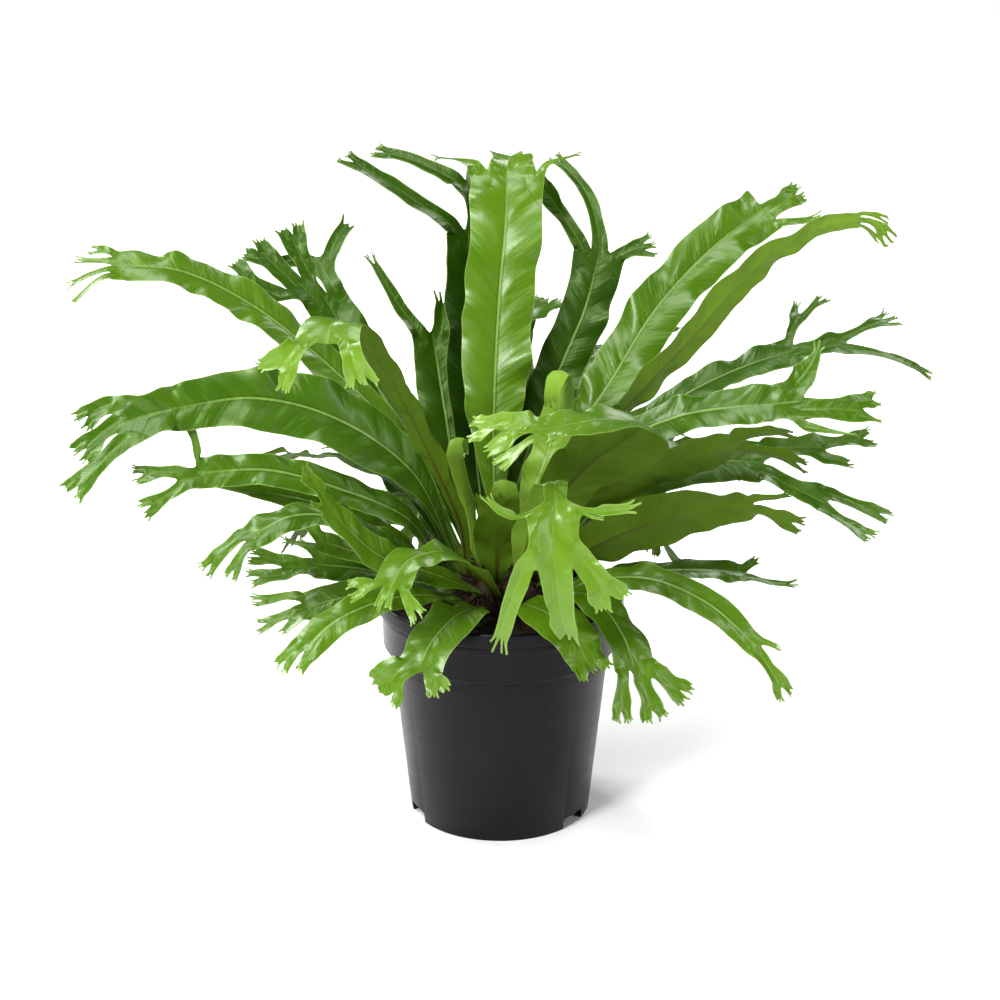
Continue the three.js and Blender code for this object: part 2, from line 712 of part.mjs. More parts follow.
place("nursery_pot", potGeometry(), material(0x2b2a30, 0.42));
place("potting_soil", soilGeometry(), material(0x2e1d14, 0.95));
place("crown", crownGeometry(), material(0x4a3320, 0.9));
for (const spec of [...fronds, ...backFronds.map(backFrond)])
  place(spec.name, frondGeometry(spec), youngNames.test(spec.name) ? youngMaterial : frondMaterial);

export default fern;
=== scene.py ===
import math
import random

import bmesh
import bpy
import numpy as np
from mathutils import Matrix, Vector, noise


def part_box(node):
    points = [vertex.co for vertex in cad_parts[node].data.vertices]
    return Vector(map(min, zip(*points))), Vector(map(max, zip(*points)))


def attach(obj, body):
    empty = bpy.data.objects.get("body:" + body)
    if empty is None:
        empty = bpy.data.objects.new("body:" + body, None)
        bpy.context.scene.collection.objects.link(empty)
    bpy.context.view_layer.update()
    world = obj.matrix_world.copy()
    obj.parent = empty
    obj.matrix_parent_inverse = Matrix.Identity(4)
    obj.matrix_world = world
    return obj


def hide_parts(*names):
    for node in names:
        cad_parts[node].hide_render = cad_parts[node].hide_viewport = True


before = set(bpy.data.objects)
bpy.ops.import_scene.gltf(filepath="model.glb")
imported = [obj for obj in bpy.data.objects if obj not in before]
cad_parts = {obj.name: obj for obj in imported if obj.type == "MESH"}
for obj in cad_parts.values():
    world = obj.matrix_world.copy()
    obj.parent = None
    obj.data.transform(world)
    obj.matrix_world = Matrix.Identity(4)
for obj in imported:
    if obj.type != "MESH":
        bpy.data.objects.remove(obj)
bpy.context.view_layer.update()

mm = 0.001  # sizes below are in millimetres, and meshes are made in metres
degree = math.pi / 180

potLow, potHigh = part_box("nursery_pot")  # shapes are made about the pot's axis, then set here
potPlace = Vector(((potLow.x + potHigh.x) / 2, (potLow.y + potHigh.y) / 2, 0))


def meshOf(bm, name):
    mesh = bpy.data.meshes.new(name)
    bm.to_mesh(mesh)
    bm.free()
    return mesh


def placed(name, data):  # a new object in the scene
    item = bpy.data.objects.new(name, data)
    bpy.context.scene.collection.objects.link(item)
    return item


# Sums on shader sockets

class Wire:  # a node's output that can be added, multiplied and so on
    def __init__(self, bench, socket):
        self.bench = bench
        self.socket = socket

    def sum(self, operation, *values):
        return self.bench.add("ShaderNodeMath", {"operation": operation}, dict(enumerate(values)))

    def __add__(self, other):
        return self.sum("ADD", self, other)

    def __sub__(self, other):
        return self.sum("SUBTRACT", self, other)

    def __rsub__(self, other):
        return self.sum("SUBTRACT", other, self)

    def __mul__(self, other):
        return self.sum("MULTIPLY", self, other)

    def __truediv__(self, other):
        return self.sum("DIVIDE", self, other)

    def __abs__(self):
        return self.sum("ABSOLUTE", self)

    __radd__ = __add__
    __rmul__ = __mul__

    def sine(self):
        return self.sum("SINE", self)

    def rising(self, low, high):  # 0 below low, 1 above high, smooth between
        inputs = {"Value": self, "From Min": low, "From Max": high}
        return self.bench.add("ShaderNodeMapRange", {"interpolation_type": "SMOOTHSTEP"}, inputs)


class Bench:  # one material with its nodes
    def __init__(self, name):
        self.material = bpy.data.materials.new(name)
        self.material.use_nodes = True
        self.tree = self.material.node_tree
        self.tree.nodes.clear()

    def add(self, kind, settings=None, inputs=None, output=0):
        node = self.tree.nodes.new(kind)
        for key, value in (settings or {}).items():
            if key == "stops":
                self.setStops(node.color_ramp, value)
            else:
                setattr(node, key, value)
        for key, value in (inputs or {}).items():
            socket = node.inputs[key]
            if isinstance(value, Wire):
                self.tree.links.new(value.socket, socket)
            else:
                socket.default_value = (*value, 1) if socket.type == "RGBA" else value
        return Wire(self, node.outputs[output]) if node.outputs else node

    def setStops(self, ramp, stops):
        while len(ramp.elements) < len(stops):
            ramp.elements.new(0.5)
        for element, (place, colour) in zip(ramp.elements, stops):
            element.position = place
            element.color = (*colour, 1)

    def attribute(self, name):
        return self.add("ShaderNodeAttribute", {"attribute_name": name}, output="Fac")

    def place(self):
        return self.add("ShaderNodeTexCoord", output="Object")

    def part(self, vector, axis):
        return self.add("ShaderNodeSeparateXYZ", {}, {"Vector": vector}, output=axis)

    def vector(self, x, y, z):
        return self.add("ShaderNodeCombineXYZ", {}, {"X": x, "Y": y, "Z": z})

    def clouds(self, vector, scale, detail=2.0, roughness=0.5):
        inputs = {"Vector": vector, "Scale": scale, "Detail": detail, "Roughness": roughness}
        return self.add("ShaderNodeTexNoise", {}, inputs, output="Fac")

    def ramp(self, value, stops):
        return self.add("ShaderNodeValToRGB", {"stops": stops}, {"Fac": value}, output="Color")

    def mixed(self, share, one, other):
        return self.add("ShaderNodeMix", {"data_type": "RGBA"}, {0: share, 6: one, 7: other}, output=2)

    def scaled(self, colour, amount):  # a colour made lighter or darker by an amount that varies
        return self.add("ShaderNodeVectorMath", {"operation": "SCALE"}, {0: colour, "Scale": amount})

    def bump(self, height, strength):
        return self.add("ShaderNodeBump", {}, {"Height": height, "Distance": mm, "Strength": strength})

    def shown(self, surface):
        self.add("ShaderNodeOutputMaterial", {}, {"Surface": surface})
        return self.material

    def finished(self, inputs):
        return self.shown(self.add("ShaderNodeBsdfPrincipled", {}, inputs))


# Leaf finishes. The blades carry attributes in millimetres and shares: ribAlong and ribSide
# say where a point lies along and beside its nearest rib, frondShare how far it is from the
# crown to the crest, inset how far in from the margin, and tone how young and light the leaf is;
# its low values are partly painted shade, darkening whole fronds that sit in shadow.

leafLook = {
    # the darkest greens stand partly for painted shade on fronds in shadow, partly for older leaves
    "dark": (0.007, 0.028, 0.0005),
    "green": (0.038, 0.108, 0.001),
    "fresh": (0.100, 0.216, 0.004),
    "young": (0.250, 0.430, 0.045),
    "ages": (0, 0.35, 0.65, 1),  # the tones of these four greens
    "under": (0.058, 0.112, 0.005),
    "underYoung": (0.205, 0.360, 0.035),
    "brownRib": (0.050, 0.020, 0.006),
    "paleRib": (0.270, 0.420, 0.090),
    "veinSlant": 0.75,  # how far a vein runs outwards along the frond, per mm from the midrib
    "veinSpacing": 1.3,
    "gloss": 0.33,
    "underGloss": 0.50,
    "shine": 0.45,
    "sheen": (0.72, 1.0, 0.42),
    "wax": 0.5,  # how strong the waxy coat is on the full-grown leaves
    "waxGloss": 0.24,
    "underShine": 0.14,
    "seeThrough": 0.14,
}


def leafPlaces(bench):
    beside = abs(bench.attribute("ribSide"))
    vein = bench.attribute("ribAlong") - beside * leafLook["veinSlant"]
    return beside, vein, bench.attribute("frondShare"), bench.attribute("tone")


def leafGrain(bench, beside, vein, tone):  # streaks that run with the veins, and the height of the grain
    streaks = bench.clouds(bench.vector(vein * 0.22, beside * 0.02, tone * 9), 1.0, 3.0, 0.6)
    ridges = (vein * (2 * math.pi / leafLook["veinSpacing"]) + streaks * 4).sine()
    return streaks, ridges * 0.05 + streaks * 0.35


def leafBody(bench, colour, roughness, shine, wax, normal, glow):
    skin = {"Base Color": colour, "Roughness": roughness, "Normal": normal, "Specular IOR Level": shine,
            "Specular Tint": leafLook["sheen"], "Coat Weight": wax, "Coat Roughness": leafLook["waxGloss"]}
    skin = bench.add("ShaderNodeBsdfPrincipled", {}, skin)
    light = bench.add("ShaderNodeBsdfTranslucent", {}, {"Color": glow})
    return bench.shown(bench.add("ShaderNodeMixShader", {}, {0: leafLook["seeThrough"], 1: skin, 2: light}))


def leafTopFinish():
    bench = Bench("leafTop")
    beside, vein, share, tone = leafPlaces(bench)
    streaks, grain = leafGrain(bench, beside, vein, tone)
    inset = bench.attribute("inset")
    broad = bench.clouds(bench.vector(vein * 0.045, beside * 0.012, tone * 17), 1.0, 2.0)
    blotches = bench.clouds(bench.place(), 34.0, 2.0)
    # age follows tone, so the painted shade of shadowed fronds darkens the colour here
    age = tone + (blotches - 0.5) * 0.12 + (broad - 0.5) * 0.16
    greens = zip(leafLook["ages"], (leafLook[name] for name in ("dark", "green", "fresh", "young")))
    colour = bench.scaled(bench.ramp(age, list(greens)), streaks * 0.2 + 0.9)
    rib = 1 - beside.rising(0.35, 1.0)
    onBlade = 1 - share.rising(0.8, 1.0)
    # painted shade: the blade is darkened in the grooves on both sides of the raised midrib
    grooveShade = beside.rising(0.7, 1.1) * (1 - beside.rising(1.2, 2.2))
    colour = bench.scaled(colour, 1 - grooveShade * onBlade * 0.35)
    ribShown = rib * (onBlade * 0.75 + 0.25)
    colour = bench.mixed(ribShown * 0.6, colour, leafLook["paleRib"])
    colour = bench.mixed((1 - inset.rising(0.2, 0.9)) * 0.5, colour, leafLook["paleRib"])
    ripples = bench.clouds(bench.vector(vein * 0.12, beside * 0.03, tone * 5), 1.0, 2.0, 0.6)
    height = grain + ripples * 3.0 + broad * 3.2 + rib * 0.3
    roughness = streaks * 0.14 + blotches * 0.1 + (leafLook["gloss"] - 0.10)
    glow = bench.scaled(colour, 1.6)
    wax = tone.rising(0.1, 0.6) * (1 - tone.rising(0.6, 0.9) * 0.6) * leafLook["wax"]
    return leafBody(bench, colour, roughness, leafLook["shine"], wax, bench.bump(height, 0.6), glow)


def leafUnderFinish():
    bench = Bench("leafUnder")
    beside, vein, share, tone = leafPlaces(bench)
    streaks, grain = leafGrain(bench, beside, vein, tone)
    blotches = bench.clouds(bench.place(), 30.0, 3.0)
    age = tone.rising(0.35, 1.0) + (blotches - 0.5) * 0.15
    colour = bench.mixed(age, leafLook["under"], leafLook["underYoung"])
    colour = bench.scaled(colour, streaks * 0.35 + blotches * 0.25 + 0.7)
    rib = 1 - beside.rising(0.7, 1.6)
    brown = (1 - share.rising(0.15, 0.8)) * (1 - tone.rising(0.6, 0.95))
    colour = bench.mixed(rib * brown * 0.85, colour, leafLook["brownRib"])
    roughness = streaks * 0.12 + (leafLook["underGloss"] - 0.05)
    glow = bench.scaled(colour, 1.9)
    return leafBody(bench, colour, roughness, leafLook["underShine"], 0, bench.bump(grain, 0.5), glow)


# Fronds. Each has the ring and azimuth of its seat on the crown, the way of its midrib from
# there to the root of the crest, the blade's width, its neck (the width at the crest, as a share
# of the blade's), the twist along it in degrees, the curl of the crest over 60 mm, the crest's
# lobes and the tone of its blade and of its crest. The tones are partly the leaf's age and partly
# painted shade: fronds that sit in shadow, such as frond_02, get darker tones.
# A lobe is [turn from its parent, length, its own lobes, its share of the width, its flare],
# listed from right to left looking outwards along the frond. A turn may be a pair, at the
# lobe's root and at its end. A lobe of length 0 leaves the blade's own margin plain.

growth = {
    "crownRadius": 30,
    "crownCentre": 152,
    "ringTilt": [80, 62, 44, 26, 8],
    "seatGap": 0.35,
    "straightStart": 12,
    "petioleWidth": 6.4,
    "baseShare": 0.04,  # the blade begins to widen at this share of the midrib
    "swell": 0.54,  # and has its full width at this one
    "neckStart": 0.7,
    "fold": 0.26,  # how steeply the two halves of the blade rise from the midrib
    "foldFade": 20,
    "curlLength": 60,
    "fanAngle": 26,
    "rootTurnShare": 0.7,
    "steps": 120,
    "rowStep": 6.0,
    "lobeStep": 5.3,
    "tipColumns": 4,
    "gather": 0.25,  # how much closer the columns lie beside the midrib
    "sheet": 0.55,  # thickness of the blade
    "rib": 1.9,  # thickness at the midrib, near the crown
    "stalk": 2.8,  # thickness at the seat
    "stalkLength": 30,
    "ribLift": 0.35,  # how far the rib stands up on the leaf's top
    "ribWidth": 1.1,
    "stalkShare": 0.12,  # the ruffles and pleats begin past this share of the midrib
    "ruffle": 3.2,
    "fullRuffleWidth": 30,  # narrower leaves ruffle less
    "ruffleSlant": 0.4,
    "ruffleLength": 50,
    "pleat": 1.6,
    "pleatLength": 11,
    "pleatSlant": 0.8,
    "lobeReach": 9,  # distance from a lobe's rib at which the ruffles are full
    "crestStart": 0.9,  # share of the midrib where the ruffles begin to calm down
    "scallop": 0.05,  # how far the margin waves in and out, as a share of the blade's half width
    "pinch": 0.24,  # how much a lobe narrows past its root, which rounds the bays between lobes
    "taper": 0.1,
    "flare": 0.45,  # how much a forking lobe widens towards its fork
    "gutter": 0.28,  # how steeply a lobe's sides rise from its own rib
    "droop": 0.22,  # how far the margins hang, as a share of the blade's half width
    "bow": 0.010,  # how much a lobe may bend up or down, per mm
    "roll": 0.3,  # how steeply a lobe may tip to one side
    "bodyShare": 0.72,  # how much of a lobe is there before its teeth
    "raggedLength": 8,
    "toothSpread": (12, 22),  # angle between two teeth
    "toothLength": (3.5, 7),
    "toothTip": (0.9, 1.5),
    "toneTurn": 0.75,  # share of the midrib where the blade's tone begins to turn to the crest's
    "youngNames": ["pale", "young", "fiddlehead", "star", "fan"],
}


def fan(*lengths):
    middle = (len(lengths) - 1) / 2
    return [[growth["fanAngle"] * (i - middle), length] for i, length in enumerate(lengths)]


def forked(stem, side, other):  # one lobe that forks again beside one that doesn't
    return [[-14, stem, [[-16, side, fan(8, 8)], [14, side, fan(7, 8)]]], [[20, 30], other, fan(8, 9)]]


fronds = [
    dict(name="frond_01_tall_centre", ring=4, seat=90, width=48, neck=1.08, twist=[0, 0, 0], curl=-110,
         way=[[-4, 26, 230], [-4, 42, 280], [0, 68, 355], [4, 84, 396], [5, 95, 418], [5, 104, 427]],
         crest=[[[-40, -96], 32, None, 2], [[-2, -2], 26, [[0, 0], [-6, 9, None, 3], [0, 0]], 10, 0],
                [[40, 98], 38, None, 4]], tone=[0.56, 0.62]),
    dict(name="frond_02_dark_horned", ring=3, seat=118, width=38, neck=0.92, twist=[0, 0, 0], curl=-10,
         way=[[-16, 46, 232], [-19, 66, 282], [-21, 92, 342], [-22, 110, 385]],
         crest=[[[4, 6], 38, [[-12, 14, None, 2], [[46, 50], 52, fan(6, 7), 2, -0.1]]],
                [[54, 57], 84, fan(8, 12), 3, 0]], tone=[0.02, 0.2]),
    dict(name="frond_03_left_spur", ring=3, seat=155, width=36, neck=0.8, twist=[-20, -45, -45], curl=-10,
         way=[[-30, 44, 222], [-38, 66, 264], [-47, 90, 316]],
         crest=[[[-14, -8], 30, None, 4], [[28, 24], 58, fan(7, 6), 3, -0.4]], tone=[0.15, 0.2]),
    dict(name="frond_04_long_left_arch", ring=2, seat=157, width=28, neck=0.8, twist=[-10, -20, -25],
         curl=-50,
         way=[[-62, 14, 256], [-112, 22, 309], [-168, 27, 354], [-214, 28, 376], [-256, 26, 380]],
         crest=[[[-20, -8], 12, fan(6, 6)], [[0, -4], 28, None, 2], [[14, 22], 38, None, 2],
                [[26, 40], 40, None, 2]], tone=[0.5, 0.55]),
    dict(name="frond_05_left_antler", ring=2, seat=126, width=34, neck=0.95, twist=[-10, -25, -25], curl=-10,
         pinch=0.05,
         way=[[-46, 53, 228], [-83, 88, 273], [-113, 114, 317], [-125, 122, 336]],
         crest=[[[6, -10], 26, [[[-34, -54], 40, None, 2], [[50, 78], 30, None, 2]], 4, 0.8],
                [[14, 16], 18, [[-24, 30, fan(8, 8)], [0, 34, fan(9, 9)], [[22, 16], 34, fan(9, 9)]], 6, 1]],
         tone=[0.3, 0.26]),
    dict(name="frond_06_curled_pale", ring=2, seat=225, width=21, neck=1.95, twist=[0, 10, 0], curl=-120,
         pinch=0.05, taper=0.3,
         way=[[-26, -36, 220], [-42, -50, 265], [-62, -66, 315], [-80, -80, 350], [-92, -92, 368],
              [-101, -106, 373], [-104, -120, 363]],
         crest=[[[-30, -44], 20, [[-30, 12], [24, 10]], 3], [-10, 0], [4, 0], [4, 0],
                [[30, 14], 22, fan(6, 5, 7), 3]], tone=[0.42, 0.78]),
    dict(name="frond_07_broad_left", ring=2, seat=190, width=44, neck=0.7, twist=[-20, -50, -60], curl=-25,
         way=[[-58, -20, 250], [-108, -34, 292], [-158, -44, 308], [-208, -54, 304]],
         crest=[[[5, 13], 36, [[[-10, 24], 16, fan(6, 7), 3], [[10, 30], 24, fan(7, 8), 3],
                               [[24, 30], 38, fan(8, 7), 3]]]], tone=[0.36, 0.38]),
    dict(name="frond_08_left_stag", ring=1, seat=178, width=21, neck=1, twist=[-10, -40, -50], curl=0,
         way=[[-62, -26, 220], [-108, -42, 247], [-150, -52, 262], [-194, -58, 262]],
         crest=[[[-90, -66], 30, fan(7, 8), 2],
                [6, 12, [[[-14, 0], 22, fan(7, 7)], [[26, 20], 22, fan(7, 7)]]]],
         tone=[0.4, 0.42]),
    dict(name="frond_09_left_slip", ring=0, seat=164, width=20, neck=0.6, twist=[-10, -35, -40], curl=-10,
         way=[[-70, 0, 194], [-115, -8, 222], [-164, -20, 238]],
         crest=[[0, 38]], tone=[0.5, 0.55]),
    dict(name="frond_10_left_drooping", ring=1, seat=218, width=22, neck=0.9, twist=[-10, -35, -45],
         curl=-50,
         way=[[-62, -58, 207], [-100, -80, 238], [-132, -92, 244], [-158, -100, 232]],
         crest=[[10, 28, fan(8, 8)], [30, 18, fan(7, 9)]], tone=[0.38, 0.45]),
    dict(name="frond_11_left_hook", ring=1, seat=198, width=18, neck=0.9, twist=[0, -30, -40], curl=20,
         way=[[-62, -38, 188], [-92, -48, 203], [-118, -54, 214]],
         crest=[[-40, 18, fan(8, 8)], [10, 30]], tone=[0.5, 0.55]),
    dict(name="frond_12_left_ragged", ring=0, seat=185, width=26, neck=0.9, twist=[0, -30, -35], curl=-10,
         way=[[-58, -12, 169], [-92, -18, 181], [-124, -22, 186]],
         crest=[[[-40, -30], 18, None, 2], [0, 20, [[-12, 16, fan(7, 8)], [8, 16, fan(8, 6)]]]],
         tone=[0.4, 0.45]),
    dict(name="frond_13_left_frilled", ring=0, seat=205, width=26, neck=0.9, twist=[0, -30, -35], curl=-20,
         way=[[-58, -32, 168], [-92, -44, 173], [-128, -53, 167]],
         crest=[[[-24, -12], 26, fan(8, 6)], [[8, 14], 12, [[-12, 14, fan(6, 8)], [18, 10, None, 2]]]],
         tone=[0.5, 0.5]),
    dict(name="frond_14_low_left", ring=0, seat=224, width=21, neck=1, twist=[0, -30, -40], curl=-30,
         way=[[-44, -50, 174], [-73, -80, 183], [-105, -100, 176], [-124, -108, 160]],
         crest=[[8, 14, fan(6, 6)], [18, 14, None, 2]], tone=[0.54, 0.58]),
    dict(name="frond_15_front_left_upturned", ring=1, seat=241, width=24, neck=0.9, twist=[-30, -60, -60],
         curl=20, way=[[-44, -72, 198], [-78, -101, 222], [-108, -122, 262]],
         crest=[[-12, 18, fan(6, 6)], [16, 16]], tone=[0.6, 0.68]),
    dict(name="frond_16_front_fan", ring=1, seat=264, width=26, neck=1, twist=[-10, -30, -30], curl=-60,
         way=[[-16, -60, 196], [-37, -88, 219], [-59, -109, 219], [-67, -123, 209]],
         crest=[[-56, 13, fan(6, 6)], [4, 10, fan(7, 6)], [50, 18, fan(7, 7)]], tone=[0.56, 0.74]),
    dict(name="frond_17_front_short", ring=2, seat=266, width=30, neck=0.7, twist=[0, 0, 0], curl=-30,
         way=[[-2, -34, 200], [-4, -50, 232]],
         crest=[[-14, 18], [16, 18]], tone=[0.4, 0.5]),
    dict(name="frond_18_front_star", ring=1, seat=292, width=22, neck=0.64, twist=[0, 0, 0], curl=-60,
         pinch=0.04, taper=0.32,
         way=[[16, -56, 206], [23, -80, 244], [31, -99, 267], [34, -109, 272], [34, -117, 265]],
         crest=[[[2, 4], 12, [[[-90, -134], 28, None, 5],
                              [[-5, 3], 31, [[[-28, -20], 54, None, 5], [0, 0], [[4, 10], 60, None, 8],
                                             [[34, 26], 24, fan(8, 8), 6]], 24, 0.75],
                              [[50, 84], 14, None, 2], [[88, 92], 30, None, 5]], 36, 2.9]],
         tone=[0.68, 0.7]),
    dict(name="frond_19_rim_left", ring=0, seat=247, width=34, neck=0.95, twist=[0, -10, -10], curl=-20,
         pinch=0.12,
         way=[[-16, -53, 167], [-30, -79, 170], [-45, -101, 160], [-51, -109, 149]],
         crest=[[[-34, -24], 20, [[-14, 8, None, 2], [12, 8]]], [[34, 40], 12, fan(5, 6)]],
         tone=[0.56, 0.6]),
    dict(name="frond_20_rim_right", ring=0, seat=287, width=34, neck=0.7, twist=[0, 20, 25], curl=-20,
         way=[[14, -50, 168], [32, -76, 171], [49, -97, 161], [57, -106, 149]],
         crest=[[[-14, -20], 10, None, 2], [0, 5], [[10, 16], 9, None, 2]], tone=[0.58, 0.62]),
    dict(name="frond_21_rim_trailing", ring=0, seat=312, width=28, neck=1.05, twist=[0, 0, 10], curl=-10,
         pinch=0.1,
         way=[[41, -46, 175], [62, -72, 180], [79, -92, 163], [86, -100, 146]],
         crest=[[[-24, -20], 26, fan(8, 7)], [6, 10, [[-4, 20, fan(7, 8)], [[22, 30], 18, fan(7, 7)]]]],
         tone=[0.46, 0.54]),
    dict(name="frond_22_low_right", ring=0, seat=336, width=21, neck=0.75, twist=[10, 40, 45], curl=-10,
         way=[[58, -30, 176], [98, -44, 184], [136, -54, 171], [170, -60, 142]],
         crest=[[-14, 30, fan(8, 8)], [22, 14]], tone=[0.5, 0.65]),
    dict(name="frond_23_flat_right", ring=0, seat=0, width=20, neck=0.8, twist=[0, 15, 30], curl=0,
         way=[[58, 4, 166], [100, 8, 170], [140, 10, 170], [168, 12, 167]],
         crest=[[-14, 40], [[34, 44], 16]], tone=[0.4, 0.4]),
    dict(name="frond_24_broad_right", ring=1, seat=341, width=44, neck=0.5, swell=0.36,
         twist=[-20, -60, -60], curl=-10,
         way=[[58, -28, 198], [98, -42, 222], [134, -52, 235], [162, -58, 238]],
         crest=[[-6, 30], [20, 26, fan(8, 8)]], tone=[0.4, 0.45]),
    dict(name="frond_25_right_claw", ring=1, seat=6, width=32, neck=1, twist=[10, 30, 35], curl=-20,
         way=[[58, 0, 210], [100, 0, 238], [142, -2, 252], [174, -4, 252]],
         crest=[[[-24, -30], 46, [[-14, 30, fan(8, 8)], [12, 32, fan(8, 9)]]],
                [[16, 8], 44, [[-10, 24, None, 2], [14, 32, fan(9, 9)]]]], tone=[0.34, 0.38]),
    dict(name="frond_26_right_loop", ring=2, seat=330, width=30, neck=0.9, twist=[-20, -55, -40], curl=-60,
         way=[[42, -30, 226], [84, -44, 254], [124, -50, 270], [150, -50, 277]],
         crest=[[-20, 36, fan(10, 10)], [10, 40, fan(10, 10)]], tone=[0.4, 0.35]),
    dict(name="frond_27_right_glossy", ring=2, seat=356, width=26, neck=1, twist=[10, 35, 45], curl=-15,
         pinch=0.2, taper=0.7,
         way=[[42, -12, 237], [80, -18, 271], [118, -26, 291], [152, -33, 299], [176, -37, 302]],
         crest=[[[0, 4], 18, [[[-20, -16], 42, None, 2],
                              [[-4, -6], 38, [[-10, 16, None, 2], [20, 8, fan(5, 5)]], 4],
                              [[42, 66], 36, None, 6]], 12, 1]], tone=[0.36, 0.44]),
    dict(name="frond_28_right_ragged", ring=2, seat=24, width=25, neck=1, twist=[0, 15, 25], curl=-15,
         way=[[50, 26, 229], [92, 42, 262], [134, 56, 286], [172, 66, 301], [204, 72, 310]],
         crest=[[[-6, -4], 34, [[[-20, -30], 54, fan(8, 7), 6, 0.1],
                                [[20, 14], 34, fan(10, 12, 8), 5, 0.9]], 12],
                [[54, 46], 24, [[-16, 16, fan(7, 7)], [18, 12, None, 2]], 6, 0.8]], tone=[0.24, 0.26]),
    dict(name="frond_29_right_reaching", ring=3, seat=8, width=23, neck=0.56, twist=[-10, -65, -60],
         curl=-130,
         way=[[47, 8, 246], [89, 16, 290], [129, 24, 332], [168, 32, 375], [208, 38, 401], [238, 38, 408]],
         crest=[[[8, 4], 14, fan(8, 7), 2, 1], [[24, 34], 20, fan(9, 10, 9), 4, 1.2],
                [[46, 56], 16, fan(8, 7), 2, 1]],
         tone=[0.62, 0.78]),
    dict(name="frond_30_great_right", ring=3, seat=42, width=38, neck=0.95, twist=[0, 30, 35], curl=-20,
         way=[[37, 36, 239], [72, 58, 284], [109, 84, 337], [147, 100, 375], [184, 110, 402]],
         crest=[[[-34, -26], 34], [[-12, 6], 24, fan(5, 6)], [10, 0], [20, 0]], tone=[0.48, 0.5]),
    dict(name="frond_31_two_horned", ring=3, seat=80, width=34, neck=1.05, twist=[0, 10, 10], curl=-10,
         way=[[18, 48, 240], [41, 74, 294], [60, 95, 335], [70, 106, 371]],
         crest=[[[-40, -64], 20, fan(9, 8, 8), 3], [[12, 60], 76, fan(8, 10), 3, -0.1],
                [[42, 54], 52, fan(8, 9), 3]], tone=[0.16, 0.22]),
    dict(name="frond_32_folded_over", ring=2, seat=304, width=44, neck=0.62, twist=[-20, -40, -80], curl=-20,
         pinch=0.12,
         way=[[30, -50, 230], [56, -74, 272], [82, -96, 298], [88, -107, 308], [64, -117, 315],
              [38, -121, 312], [24, -123, 310]],
         crest=[[[-14, -6], 20, [[-12, 16, fan(7, 8)], [16, 16, None, 2]]], [[14, 22], 24, fan(8, 8)]],
         tone=[0.42, 0.78]),
    dict(name="frond_33_young_coiled", ring=3, seat=316, width=24, neck=0.7, twist=[60, 110, 110], curl=360,
         way=[[20, 0, 222], [33, 8, 258], [43, 15, 300]],
         crest=[[0, 50]], tone=[0.88, 0.95]),
    dict(name="fiddlehead_centre", ring=4, seat=270, width=20, neck=1, twist=[0, 0, 0], curl=430,
         way=[[2, -14, 210], [3, -20, 232]],
         crest=[[0, 46]], tone=[0.5, 0.9]),
    dict(name="fiddlehead_left", ring=3, seat=204, width=12, neck=1, twist=[0, 30, 45], curl=430,
         way=[[-20, -14, 216], [-30, -20, 262]],
         crest=[[0, 42]], tone=[0.8, 0.98]),
]

# Fronds behind the crown: reach is how far out the crest begins, top and end are the heights
# of the midrib's highest part and of its end

backFronds = [
    dict(ring=0, seat=28, width=32, reach=150, top=200, end=198, crest=forked(16, 18, 22)),
    dict(ring=0, seat=56, width=34, reach=185, top=196, end=160, crest=forked(20, 22, 26)),
    dict(ring=0, seat=84, width=36, reach=190, top=196, end=150, crest=forked(14, 26, 20)),
    dict(ring=0, seat=112, width=34, reach=180, top=194, end=152, crest=forked(22, 18, 28)),
    dict(ring=0, seat=140, width=32, reach=170, top=196, end=176, crest=forked(16, 20, 26)),
    dict(ring=1, seat=38, width=36, reach=160, top=234, end=232, crest=forked(18, 22, 24)),
    dict(ring=1, seat=66, width=38, reach=190, top=232, end=226, crest=forked(22, 24, 30)),
    dict(ring=1, seat=94, width=40, reach=200, top=236, end=224, crest=forked(20, 28, 26)),
    dict(ring=1, seat=122, width=36, reach=175, top=242, end=230, crest=forked(24, 18, 30)),
    dict(ring=1, seat=150, width=34, reach=165, top=234, end=230, crest=forked(18, 20, 24)),
    dict(ring=2, seat=60, width=40, reach=160, top=268, end=290, crest=forked(22, 20, 32)),
    dict(ring=2, seat=88, width=42, reach=160, top=282, end=306, crest=forked(20, 24, 28)),
]


def onCircle(angle, radius, z):
    return [radius * math.cos(angle * degree), radius * math.sin(angle * degree), z]


for i, back in enumerate(backFronds):
    reach, top = back["reach"], back["top"]
    lean = 12 if i % 2 else -12
    seatWay = [(0.38 * reach, 170 + 0.6 * (top - 170)), (0.7 * reach, top), (reach, back["end"])]
    back["way"] = [onCircle(back["seat"], radius, z) for radius, z in seatWay]
    fronds.append({**back, "name": f"frond_{34 + i}_back", "neck": 0.9, "curl": -40,
                   "twist": [0, lean, 1.5 * lean], "tone": [0.22 + 0.08 * (i % 3), 0.4]})


def smooth(t):
    t = np.clip(t, 0, 1)
    return t * t * (3 - 2 * t)


def between(a, b, t):
    return a + (b - a) * t


def throughPoints(points, perSpan=60):  # a centripetal Catmull-Rom curve
    points = [2 * points[0] - points[1], *points, 2 * points[-1] - points[-2]]
    t = np.linspace(0, 1, perSpan, endpoint=False)[:, None]
    curve = []
    for p0, p1, p2, p3 in zip(points, points[1:], points[2:], points[3:]):
        a, b, c = (math.sqrt(np.linalg.norm(q - p)) for p, q in ((p0, p1), (p1, p2), (p2, p3)))
        leave = ((p1 - p0) / a - (p2 - p0) / (a + b) + (p2 - p1) / b) * b
        arrive = ((p2 - p1) / b - (p3 - p1) / (b + c) + (p3 - p2) / c) * b
        square = 3 * (p2 - p1) - 2 * leave - arrive
        cube = 2 * (p1 - p2) + leave + arrive
        curve.append(p1 + leave * t + square * t**2 + cube * t**3)
    return np.vstack([*curve, points[-2]])


